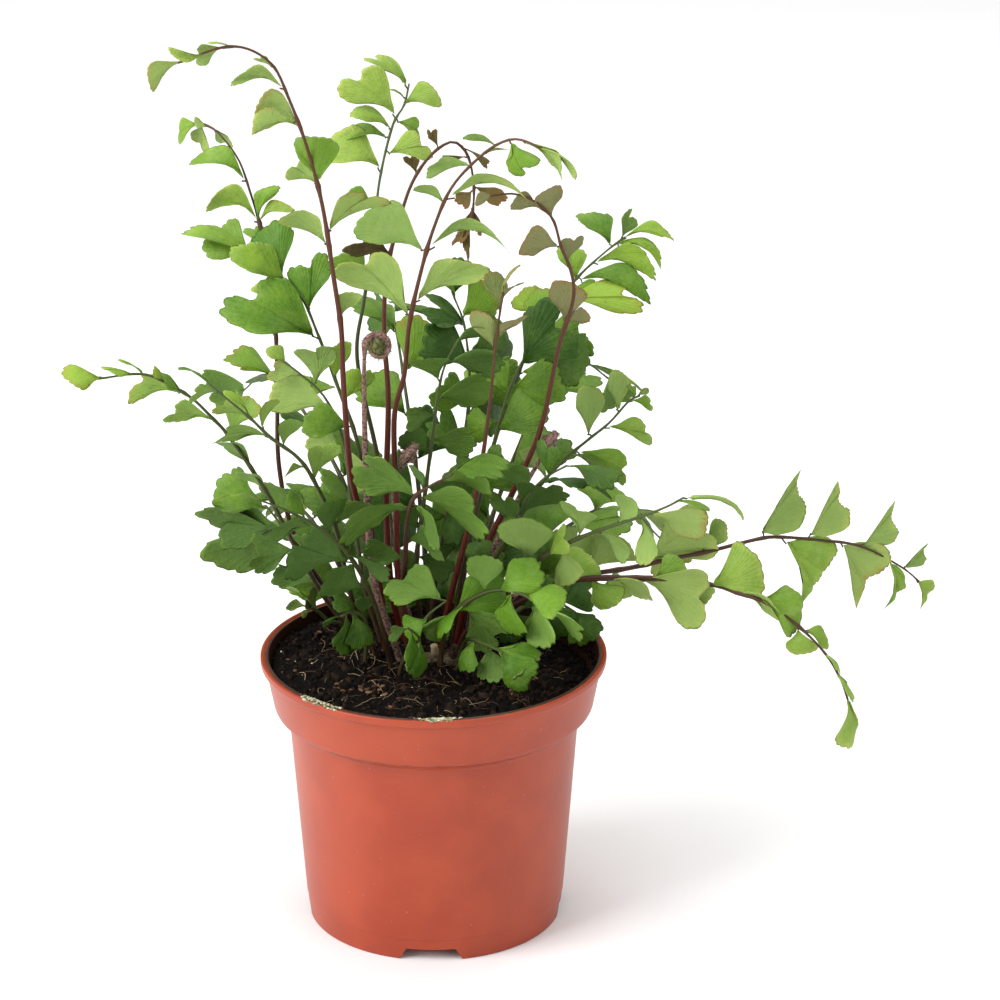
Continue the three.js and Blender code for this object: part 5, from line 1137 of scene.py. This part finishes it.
def rounded(corners):
    """A line through [radius, height, rounding] corners, with its corners rounded."""
    corners = np.array(corners, float)
    line = [corners[0, :2]]
    for before, corner, after in zip(corners, corners[1:], corners[2:]):
        back, on = before[:2] - corner[:2], after[:2] - corner[:2]
        room = min(np.linalg.norm(back), np.linalg.norm(on)) * ROUNDING['room']
        cut_off = min(corner[2], room)
        start, end = corner[:2] + unit(back) * cut_off, corner[:2] + unit(on) * cut_off
        for t in np.linspace(0, 1, ROUNDING['steps']):
            line.append(start * (1 - t) ** 2 + corner[:2] * 2 * t * (1 - t) + end * t ** 2)
    line.append(corners[-1, :2])
    return np.array(line)


def lathe(shape, line, sides):
    """A closed solid turned round Z from a line that starts and ends on the axis."""
    angles = circle(sides)
    inner = line[1:-1]
    rings = np.stack([inner[:, None, 0] * np.cos(angles), inner[:, None, 0] * np.sin(angles),
                      np.repeat(inner[:, None, 1], sides, 1)], -1)
    ends = [[0, 0, line[0, 1]], [0, 0, line[-1, 1]]]
    first_end = len(inner) * sides
    last_ring = first_end - sides
    faces = grid_faces(len(inner), sides, True)
    faces += [[(j + 1) % sides, j, first_end] for j in range(sides)]
    faces += [[last_ring + j, last_ring + (j + 1) % sides, first_end + 1] for j in range(sides)]
    shape.add(np.concatenate([rings.reshape(-1, 3), ends]), faces)


def inside_radius(height):
    """The inner wall's radius at a height, in the band below the lip."""
    rise = (height - POT['shoulder_height']) / (POT['height'] - POT['shoulder_height'])
    return POT['band_foot'] + (POT['band_radius'] - POT['band_foot']) * rise - POT['wall']


def outside_radius(height):
    """The tapered wall's outer radius at a height, below the shoulder."""
    widening = POT['shoulder_radius'] - POT['foot_radius']
    return POT['foot_radius'] + widening * height / POT['shoulder_height']


def pot_profile():
    """The pot's outline, up its outside and down its inside, from axis to axis."""
    top, rim, wall, draft = POT['height'], POT['rim_radius'], POT['wall'], POT['draft']
    foot, shoulder, disc = POT['foot_radius'], POT['shoulder_radius'], POT['disc_radius']
    band_top, band_bottom = top - POT['lip_height'], top - POT['band_height']
    step, rise, groove = POT['lip_step'], POT['inner_rise'], LIP_GROOVE['radius']
    slope, thick, low = POT['disc_slope'], POT['floor_thickness'], LIP_GROOVE['depth']
    ridge, inner_top = RIDGE['height'], top - LIP_GROOVE['inner_drop']
    floor_top = POT['floor_rise'] + thick
    return rounded([
        [0, 0, 0], [disc, 0, 0.8], [disc + slope, POT['floor_rise'], 0.8],
        [foot - wall - draft, POT['floor_rise'], 0.5], [foot - wall, 0, 0.3], [foot, 0, 0.6],
        [outside_radius(ridge), ridge, 0.1],
        [outside_radius(ridge) + RIDGE['step'], ridge + RIDGE['step'], 0.1],
        [shoulder, POT['shoulder_height'], 1.4], [POT['band_foot'], band_bottom, 1.8],
        [POT['band_radius'], band_top - step, 0.8], [rim, band_top, 0.9], [rim, top, 1.1],
        [groove + LIP_GROOVE['outer_edge'], top, 0.3], [groove + LIP_GROOVE['slope'], top - low, 0.3],
        [groove, top - low, 0.2], [groove - LIP_GROOVE['slope'], inner_top, 0.4],
        [rim - POT['lip_width'], inner_top, 0.4], [POT['band_radius'] - wall, band_top - step, 1],
        [inside_radius(band_bottom), band_bottom + rise, 1],
        [shoulder - wall, POT['shoulder_height'] + rise, 1], [foot - wall + draft, floor_top, 1.2],
        [disc + slope - thick, floor_top, 0.6], [disc - thick, thick, 0.6], [0, thick, 0],
    ])


def notch_cutter(index):
    """The wedge that cuts a notch through the foot ring."""
    foot, top = NOTCH['foot_width'] / 2, NOTCH['top_width'] / 2
    outline = [[-foot, -NOTCH['below']], [foot, -NOTCH['below']], [top, NOTCH['height']],
               [-top, NOTCH['height']]]
    front = -POT['foot_radius'] - NOTCH['depth'] + NOTCH['inset']
    points = [[x, y, z] for y in (front, front + NOTCH['depth']) for x, z in outline]
    faces = [[0, 1, 2, 3], [7, 6, 5, 4], *[[i, i + 4, (i + 1) % 4 + 4, (i + 1) % 4] for i in range(4)]]
    shape = Shape()
    shape.add(turned_points(points, NOTCH['first_angle'] + 360 / NOTCH['count'] * index), faces)
    return shape


def drain_cutter(index):
    """The pin that cuts a drain hole through the floor."""
    rim = [[DRAIN['ring'] + DRAIN['radius'] * math.cos(a), DRAIN['radius'] * math.sin(a)]
           for a in circle(DRAIN_SIDES)]
    low, high = POT['floor_rise'] - DRAIN['depth'] / 2, POT['floor_rise'] + DRAIN['depth'] / 2
    points = [[x, y, z] for z in (low, high) for x, y in rim]
    faces = grid_faces(2, DRAIN_SIDES, True)
    faces += [list(range(DRAIN_SIDES))[::-1], list(range(DRAIN_SIDES, 2 * DRAIN_SIDES))]
    shape = Shape()
    shape.add(turned_points(points, 360 / DRAIN['count'] * (index + 0.5)), faces)
    return shape


def turned_points(points, angle):
    """Points turned about Z by an angle in degrees."""
    a = math.radians(angle)
    turn = np.array([[math.cos(a), math.sin(a), 0], [-math.sin(a), math.cos(a), 0], [0, 0, 1]])
    return np.array(points, float) @ turn


def cut(piece, cutters):
    """Takes the cutters' shapes out of a piece, which keeps its name."""
    for shape in cutters:
        cutter = shape.mesh('cutter', [])
        modifier = piece.modifiers.new('cut', 'BOOLEAN')
        modifier.operation = 'DIFFERENCE'
        modifier.solver = 'EXACT'
        modifier.object = cutter
        seen = piece.evaluated_get(bpy.context.evaluated_depsgraph_get())
        data = bpy.data.meshes.new_from_object(seen)
        piece.modifiers.clear()
        piece.data = data
        bpy.data.objects.remove(cutter)


def pot_piece():
    """The pot, turned in one and then cut by its notches and drain holes."""
    shape = Shape()
    lathe(shape, pot_profile(), POT_SIDES)
    piece = shape.mesh('pot_fine', [POT_MATERIAL])
    cut(piece, [notch_cutter(i) for i in range(NOTCH['count'])])
    cut(piece, [drain_cutter(i) for i in range(DRAIN['count'])])
    piece.data.set_sharp_from_angle(angle=math.radians(POT_EDGE))
    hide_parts('pot')


def crust_piece():
    """The pale mineral crust on the lip, thickest in the middle of each of its stretches."""
    draw = Draw('crust')
    shape = Shape()
    innermost, outermost = POT['band_radius'] - CRUST['inset'][0], POT['rim_radius'] - CRUST['inset'][1]
    for first, last, count in CRUST['stretches']:
        for _ in range(count):
            angle = math.radians(draw.triangular(first, last))
            radius = min(max(draw.gauss(CRUST['radius'], CRUST['spread']), innermost), outermost)
            sunk = max(0, POT['rim_radius'] - POT['lip_width'] - radius) * CRUST['slope']
            place = np.array([math.sin(angle) * radius, -math.cos(angle) * radius, POT['height'] - sunk])
            add_grain(shape, place, draw.uniform(*CRUST['sizes']), CRUST['squash'], draw)
    shape.mesh('rim_crust', [GRAIN_MATERIALS['crust']], smooth=False)


# --- The soil -----------------------------------------------------------------------------------

def crumbly_height(x, y):
    """The soil's surface with its crumbs and hollows."""
    rough = noise.fractal(Vector((x, y, 0)) * HOLLOWS['per_mm'], *HOLLOWS['fractal'])
    fine = noise.noise(Vector((x, y, LUMPS['layer'])) * LUMPS['per_mm'])
    return soil_height(x, y) + HOLLOWS['depth'] * rough + LUMPS['height'] * fine


def soil_piece():
    """The filling: smooth below, crumbly on top."""
    wall, thick = POT['wall'] + GAP, POT['floor_thickness'] + GAP
    foot, disc, rise = POT['foot_radius'] - wall, POT['disc_radius'] - thick, POT['inner_rise'] + GAP
    floor_top, band_bottom = POT['floor_rise'] + thick, POT['height'] - POT['band_height']
    edge = inside_radius(SOIL['level']) - SOIL_MESH['inset']
    line = [[0, thick], [disc, thick], [disc + POT['disc_slope'], floor_top], [foot, floor_top],
            [POT['shoulder_radius'] - wall, POT['shoulder_height'] + rise],
            [inside_radius(band_bottom) - GAP, band_bottom + rise]]
    line += [[radius, SOIL['level']] for radius in np.linspace(edge, 0, SOIL_MESH['rings'])]
    shape = Shape()
    lathe(shape, np.array(line), SOIL_MESH['sides'])
    for point in shape.points[0]:
        if point[2] > (SOIL['level'] + band_bottom) / 2:
            point[2] = crumbly_height(point[0], point[1])
    piece = shape.mesh('soil_fine', [PEAT_MATERIAL])
    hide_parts('soil')


def on_soil(draw, edge):
    """A place on the soil by chance, within a radius."""
    radius = edge * math.sqrt(draw.random())
    angle = draw.uniform(0, 2 * math.pi)
    x, y = radius * math.cos(angle), radius * math.sin(angle)
    return np.array([x, y, crumbly_height(x, y)])


def crumbs_piece():
    """Loose crumbs of peat, from dust to lumps, and those that stick to the wall."""
    draw = Draw('crumbs')
    shape = Shape()
    for count, smallest, largest, level in CRUMBS:
        for _ in range(count):
            size = smallest + (largest - smallest) * draw.random() ** 2
            add_grain(shape, on_soil(draw, SOIL_EDGE - size), size, CRUMB_SQUASH, draw, level=level)
    for _ in range(WALL_CRUMBS['count']):
        angle = draw.uniform(0, 2 * math.pi)
        height = SOIL['level'] + WALL_CRUMBS['rise'] * draw.random() ** 2
        radius = inside_radius(height) - WALL_CRUMBS['off']
        place = np.array([math.cos(angle) * radius, math.sin(angle) * radius, height])
        add_grain(shape, place, draw.uniform(*WALL_CRUMBS['sizes']), CRUMB_SQUASH, draw)
    piece = shape.mesh('soil_crumbs', [PEAT_MATERIAL], smooth=False)


def bits_piece(name, material, bits):
    """Bits lying on the soil: some by chance, some where the picture shows them."""
    draw = Draw(name)
    shape = Shape()
    for _ in range(bits['count']):
        size = draw.uniform(*bits['sizes'])
        place = on_soil(draw, SOIL_EDGE - size) + ZENITH * size * BITS_LIFT
        add_grain(shape, place, size, bits['squash'], draw)
    for px, py, count, spread in bits['spots']:
        middle = soil_spot(px, py)
        for _ in range(count):
            x, y = (middle[axis] + draw.gauss(0, spread) for axis in range(2))
            size = draw.uniform(*SPOT_SIZES)
            place = np.array([x, y, crumbly_height(x, y) + size * SPOT_LIFT])
            add_grain(shape, place, size, bits['squash'], draw)
    piece = shape.mesh(name, [material], smooth=False)


def add_fibre(shape, draw):
    """A root fibre that lies on the soil in a bend. One that would cross the pot's wall is left out."""
    start = on_soil(draw, SOIL_EDGE - FIBRES['inset'])
    heading = draw.uniform(0, 2 * math.pi)
    bend = draw.uniform(-1, 1) * FIBRES['bend']
    step = draw.uniform(*FIBRES['lengths']) / FIBRES['steps']
    share = np.linspace(0, 1, FIBRES['steps'])
    x = start[0] + np.cumsum(np.cos(heading + bend * share)) * step
    y = start[1] + np.cumsum(np.sin(heading + bend * share)) * step
    if np.hypot(x, y).max() > SOIL_EDGE:
        return
    rise = FIBRES['rise'] + draw.uniform(*FIBRES['lifts']) * np.sin(share * math.pi)
    z = [crumbly_height(*place) for place in zip(x, y)] + rise
    radii = np.full(len(share), draw.uniform(*FIBRES['thick']))
    add_tube(shape, np.stack([x, y, z], 1), radii, FIBRES['sides'], draw.tone())


def add_tuft(shape, foot, draw):
    """A rusty tuft of scales about a place on the soil."""
    for _ in range(TUFTS['hairs']):
        x, y = (foot[axis] + draw.gauss(0, TUFTS['spread']) for axis in range(2))
        place = np.array([x, y, crumbly_height(x, y)])
        direction = np.array([*draw.either_way(2), draw.uniform(*TUFTS['upward'])])
        length = draw.uniform(*TUFTS['lengths'])
        add_hair(shape, place, direction, length, TUFTS['radius'], (0, 1, draw.random(), 1))


def fibres_piece():
    """Fine root fibres that lie on the soil, and the rusty tufts of scales."""
    draw = Draw('fibres')
    shape = Shape()
    for _ in range(FIBRES['count']):
        add_fibre(shape, draw)
    for px, py in TUFTS['places']:
        add_tuft(shape, soil_spot(px, py), draw)
    piece = shape.mesh('root_fibres', [GRAIN_MATERIALS['fibres']])


# --- Materials ----------------------------------------------------------------------------------

class Value:
    """A number or a colour that a material's nodes work out. Sums with it make more nodes."""

    def __init__(self, look, socket):
        self.look = look
        self.socket = socket

    def __add__(self, other):
        return self.look.math('ADD', self, other)

    def __radd__(self, other):
        return self.look.math('ADD', other, self)

    def __sub__(self, other):
        return self.look.math('SUBTRACT', self, other)

    def __rsub__(self, other):
        return self.look.math('SUBTRACT', other, self)

    def __mul__(self, other):
        return self.look.math('MULTIPLY', self, other)

    def __abs__(self):
        return self.look.math('ABSOLUTE', self)

    def sine(self):
        return self.look.math('SINE', self)

    def root(self):
        return self.look.math('SQRT', self)

    def between(self, low, high):
        """How far the number is from low to high, 0 to 1, smoothly."""
        inputs = {'Value': self, 'From Min': low, 'From Max': high}
        return self.look.node('MapRange', 'Result', inputs, interpolation_type='SMOOTHSTEP')


class Look:
    """A material made of nodes, in short calls that each return a Value."""

    def __init__(self, name, specular):
        self.material = bpy.data.materials.new(name)
        self.material.use_nodes = True
        self.nodes = self.material.node_tree.nodes
        self.shader = self.nodes['Principled BSDF']
        self.shade('Specular IOR Level', specular)
        self.place = self.node('TexCoord', 'Object')

    def set(self, socket, value):
        """Links a socket to a value, or gives it a number or a colour."""
        if isinstance(value, Value):
            self.material.node_tree.links.new(value.socket, socket)
        elif isinstance(value, tuple):
            socket.default_value = (*value, 1)
        else:
            socket.default_value = value

    def shade(self, name, value):
        self.set(self.shader.inputs[name], value)

    def node(self, kind, output, inputs=None, **settings):
        """A new node's output."""
        node = self.nodes.new('ShaderNode' + kind)
        for name, setting in settings.items():
            setattr(node, name, setting)
        for name, value in (inputs or {}).items():
            self.set(node.inputs[name], value)
        return Value(self, node.outputs[output])

    def math(self, operation, a, b=0):
        return self.node('Math', 'Value', {0: a, 1: b}, operation=operation)

    def mix(self, share, a, b):
        return self.node('Mix', 'Result', {'Factor': share, 'A': a, 'B': b}, data_type='RGBA')

    def noise(self, size, detail, stretch=None, rough=0.5):
        """Noise whose lumps are so many mm across, stretched if asked."""
        place = self.place
        if stretch:
            place = self.node('Mapping', 'Vector', {'Vector': place, 'Scale': Vector(stretch)})
        inputs = {'Vector': place, 'Scale': 1 / (size * MM), 'Detail': detail, 'Roughness': rough}
        return self.node('TexNoise', 'Fac', inputs)

    def marks(self):
        """The four numbers that each point of the mesh carries."""
        colour = self.node('Attribute', 'Color', attribute_name='mark')
        alpha = Value(self, colour.socket.node.outputs['Alpha'])
        return [*self.parts('SeparateColor', 'Color', colour), alpha]

    def parts(self, kind, name, whole):
        """The three numbers of a colour or a vector."""
        first = self.node(kind, 0, {name: whole})
        return [Value(self, socket) for socket in first.socket.node.outputs]

    def bump(self, height, depth, strength):
        """Bumps so many mm high."""
        inputs = {'Strength': strength, 'Distance': depth * MM, 'Height': height}
        self.shade('Normal', self.node('Bump', 'Normal', inputs))


def leaf_veins(share, reach):
    """Veins that fan out from the stalk, twice as many beyond the middle: their wave, and their lines."""
    far, near = (abs((share * (count * math.pi)).sine()) for count in VEINS)
    is_far = reach.between(0.4, 0.6)
    wave = far * is_far + near * (1 - is_far)
    return wave, (1 - wave.between(0.05, 0.5)) * reach.between(0.05, 0.35)


def leaf_material(hue):
    """A leaflet: veins that fan out from its stalk, a paler underside, pale patches of painted sheen, a
    coloured rim, spots.
    """
    tones = LEAF_LOOKS[hue]
    look = Look('leaf_' + hue, 0.22)
    share, reach, tone, is_top = look.marks()
    patches, mottle = look.noise(9, 2), look.noise(1.1, 4)
    wave, veins = leaf_veins(share, reach)
    amount = patches * 0.6 + tone * 0.75 + mottle * 0.4
    colour = look.mix(amount.between(0.4, 1.3), tones['dark'], tones['pale'])
    # painted sheen: pale patches of the underside's colour mixed into the base colour, standing in for a soft
    # highlight.
    sheen = look.noise(5, 3).between(0.5, 0.72)
    for paler in (sheen * 0.3, veins * 0.2, (1 - is_top) * 0.55):
        colour = look.mix(paler, colour, tones['under'])
    rim = (reach + look.noise(2.5, 3) * 0.35).between(1, 1.25) * tones['edge_share']
    rusty = (tone + patches * 0.5).between(1, 1.15)
    coloured = rim * (tone + patches).between(0.5, 1.3)
    colour = look.mix(coloured, colour, look.mix(rusty, tones['edge'], RUST))
    spots = look.noise(1.7, 2).between(0.68, 0.74) * tone.between(0.55, 0.8)
    look.shade('Base Color', look.mix(spots * 0.6, colour, LEAF_SPOT))
    look.shade('Roughness', 0.42 + mottle * 0.2 + (1 - is_top) * 0.15)
    look.bump(wave * 0.25 + mottle * 0.4 + look.noise(3.5, 2) * 1.6, 0.35, 1)
    return look.material


def stem_material(kind):
    """A wiry stem: dark and glossy at the soil, with fine streaks along it."""
    tones = STEM_LOOKS[kind]
    look = Look('stem_' + kind, 0.22)
    along = look.marks()[0]
    streaks = look.noise(0.5, 3, (1, 1, 0.08))
    colour = look.mix(along.between(0.05, 0.9), tones['foot'], tones['tip'])
    paler = tuple(part * 2 for part in tones['tip'])
    look.shade('Base Color', look.mix(streaks.between(0.5, 0.8) * 0.4, colour, paler))
    look.shade('Roughness', 0.3 + streaks * 0.25)
    look.bump(streaks, 0.15, 0.6)
    return look.material


def grain_material(name, dark, pale, size, roughness, depth):
    """A rough natural material: its colour differs from bit to bit and within each."""
    look = Look(name, 0.25)
    patches = look.noise(size, 5, rough=0.65)
    amount = look.marks()[0] * 0.7 + patches * 0.8
    look.shade('Base Color', look.mix(amount.between(0.35, 1.2), dark, pale))
    look.shade('Roughness', roughness - 0.1 + patches * 0.2)
    look.bump(patches, depth, 0.9)
    return look.material


def peat_material():
    """Moist peat: near black, with brown crumbs."""
    look = Look('peat', 0.12)
    lumps, fine = look.noise(3, 5, rough=0.7), look.noise(0.5, 3, rough=0.7)
    amount = look.marks()[0] * 0.45 + fine * 0.55
    colour = look.mix(amount.between(0.3, 0.95), PEAT['dark'], PEAT['pale'])
    look.shade('Base Color', look.mix(lumps.between(0.55, 0.8), colour, PEAT['lump']))
    look.shade('Roughness', 0.7 + fine * 0.3)
    look.bump(lumps + fine, 0.6, 0.9)
    return look.material


def soil_stain_and_shade(look):
    """Where the inside of the pot is painted near black, partly for wet soil's staining and partly as painted
    shade, ragged at the lip.
    """
    x, y, z = look.parts('SeparateXYZ', 'Vector', look.place)
    below_lip = (POT['height'] - POT['lip_height']) * MM - z
    level = (x * x + y * y).root() + below_lip * STAIN_AND_SHADE['slope']
    on_lip = below_lip.between(0, -STAIN_AND_SHADE['lip_from'] * MM)
    edge = STAIN_AND_SHADE['wall_radius'] * MM + on_lip * (STAIN_AND_SHADE['lip_part'] * MM)
    ragged = edge + look.noise(4, 4) * (STAIN_AND_SHADE['ragged'] * MM)
    inside = (ragged - level).between(0, STAIN_AND_SHADE['soft'] * MM)
    above = z.between(*[SOIL['level'] * MM * part for part in STAIN_AND_SHADE['foot']])
    return inside * above * STAIN_AND_SHADE['share']


def pot_material():
    """Moulded plastic: satin, faintly clouded, with scuffs, dust and a few scratches, and near black on the
    inner wall above the soil for soil staining and painted shade.
    """
    look = Look('terracotta_plastic', 0.4)
    clouds, flow = look.noise(22, 3), look.noise(5, 2, (1, 1, 12))
    scuffs = look.noise(1.4, 2, (1, 1, 0.35)).between(0.74, 0.8)
    dust = look.noise(0.7, 1).between(0.78, 0.82)
    colour = look.mix(clouds.between(0.3, 0.75), PLASTIC['dark'], PLASTIC['pale'])
    colour = look.mix(flow.between(0.5, 0.8) * 0.1, colour, PLASTIC['flow'])
    colour = look.mix(scuffs * 0.3, colour, PLASTIC['scuff'])
    colour = look.mix(dust * 0.4, colour, PLASTIC['dust'])
    # painted shade: the inner wall above the soil is mixed to near black, together with the soil's staining.
    look.shade('Base Color', look.mix(soil_stain_and_shade(look), colour, PLASTIC['stain_and_shade']))
    look.shade('Roughness', 0.34 + clouds * 0.1 + scuffs * 0.15)
    look.bump(look.noise(0.25, 2) * 0.3 + flow, 0.05, 0.5)
    return look.material


def fiddlehead_material():
    """A rolled-up frond: brown and scaly on the stem, green in the coil."""
    look = Look('fiddlehead', 0.3)
    green, _, tone, _ = look.marks()
    patches = look.noise(0.8, 4)
    brown = look.mix(patches.between(0.3, 0.7), SCALY['brown'], SCALY['pale_brown'])
    fresh = look.mix(patches * 0.5 + tone * 0.5, SCALY['green'], SCALY['pale_green'])
    look.shade('Base Color', look.mix(green.between(0.55, 0.85), brown, fresh))
    look.shade('Roughness', 0.5 + patches * 0.3)
    look.bump(patches, 0.25, 0.8)
    return look.material


def floor_material():
    """A white ground, hardly clouded."""
    look = Look('floor', 0.2)
    look.shade('Base Color', look.mix(look.noise(400, 2), *FLOOR['colours']))
    look.shade('Roughness', 0.7)
    look.bump(look.noise(2, 2), 0.02, 0.2)
    return look.material


# --- The scene ----------------------------------------------------------------------------------

def floor_piece():
    """A wide plain floor."""
    steps = np.linspace(-FLOOR['size'] / 2, FLOOR['size'] / 2, FLOOR['points'])
    points = [[x, y, FLOOR['height']] for y in steps for x in steps]
    shape = Shape()
    shape.add(points, grid_faces(FLOOR['points'], FLOOR['points'], False))
    piece = shape.mesh('floor', [floor_material()])


def add_lamp(name, place, aim, size, power):
    """A soft square light at a place in metres, turned to a point."""
    data = bpy.data.lights.new(name, 'AREA')
    data.shape = 'SQUARE'
    data.size = size
    data.energy = power
    lamp = bpy.data.objects.new(name, data)
    lamp.location = place
    lamp.rotation_mode = 'QUATERNION'
    lamp.rotation_quaternion = (Vector(aim) - Vector(place)).to_track_quat('-Z', 'Y')
    bpy.context.scene.collection.objects.link(lamp)


def add_world():
    """A white world all round."""
    world = bpy.data.worlds.new('studio')
    world.use_nodes = True
    backdrop = world.node_tree.nodes['Background']
    backdrop.inputs['Color'].default_value = (1, 1, 1, 1)
    backdrop.inputs['Strength'].default_value = WORLD_STRENGTH
    bpy.context.scene.world = world


def add_camera():
    """The camera at the photograph's viewpoint, with its long lens."""
    data = bpy.data.cameras.new('camera')
    data.sensor_width = LENS['sensor']
    data.lens = VIEW['focal'] / VIEW['side'] * LENS['sensor']
    data.clip_start, data.clip_end = LENS['near'], LENS['far']
    camera = bpy.data.objects.new('camera', data)
    camera.location = EYE * MM
    camera.rotation_euler = (math.pi / 2 - PITCH, 0, 0)
    bpy.context.scene.collection.objects.link(camera)
    bpy.context.scene.camera = camera


LEAF_MATERIALS = {hue: leaf_material(hue) for hue in LEAF_LOOKS}
STEM_MATERIALS = {kind: stem_material(kind) for kind in STEM_LOOKS}
GRAIN_MATERIALS = {name: grain_material(name, *grain) for name, grain in GRAINS.items()}
POT_MATERIAL = pot_material()
PEAT_MATERIAL = peat_material()
FIDDLE_MATERIAL = fiddlehead_material()

pot_piece()
soil_piece()
crumbs_piece()
bits_piece('bark_chips', GRAIN_MATERIALS['bark_chips'], CHIPS)
bits_piece('perlite_specks', GRAIN_MATERIALS['specks'], SPECKS)
fibres_piece()
crust_piece()
rhizome_piece()
for head in FIDDLEHEADS:
    fiddlehead_piece(head)
for index, frond in enumerate(FRONDS):
    frond_piece({**PLAIN_FROND, **frond}, index)

floor_piece()
add_world()
for name, lamp in LAMPS.items():
    add_lamp(name, *lamp)
add_camera()

bpy.context.scene.view_settings.view_transform = 'Standard'
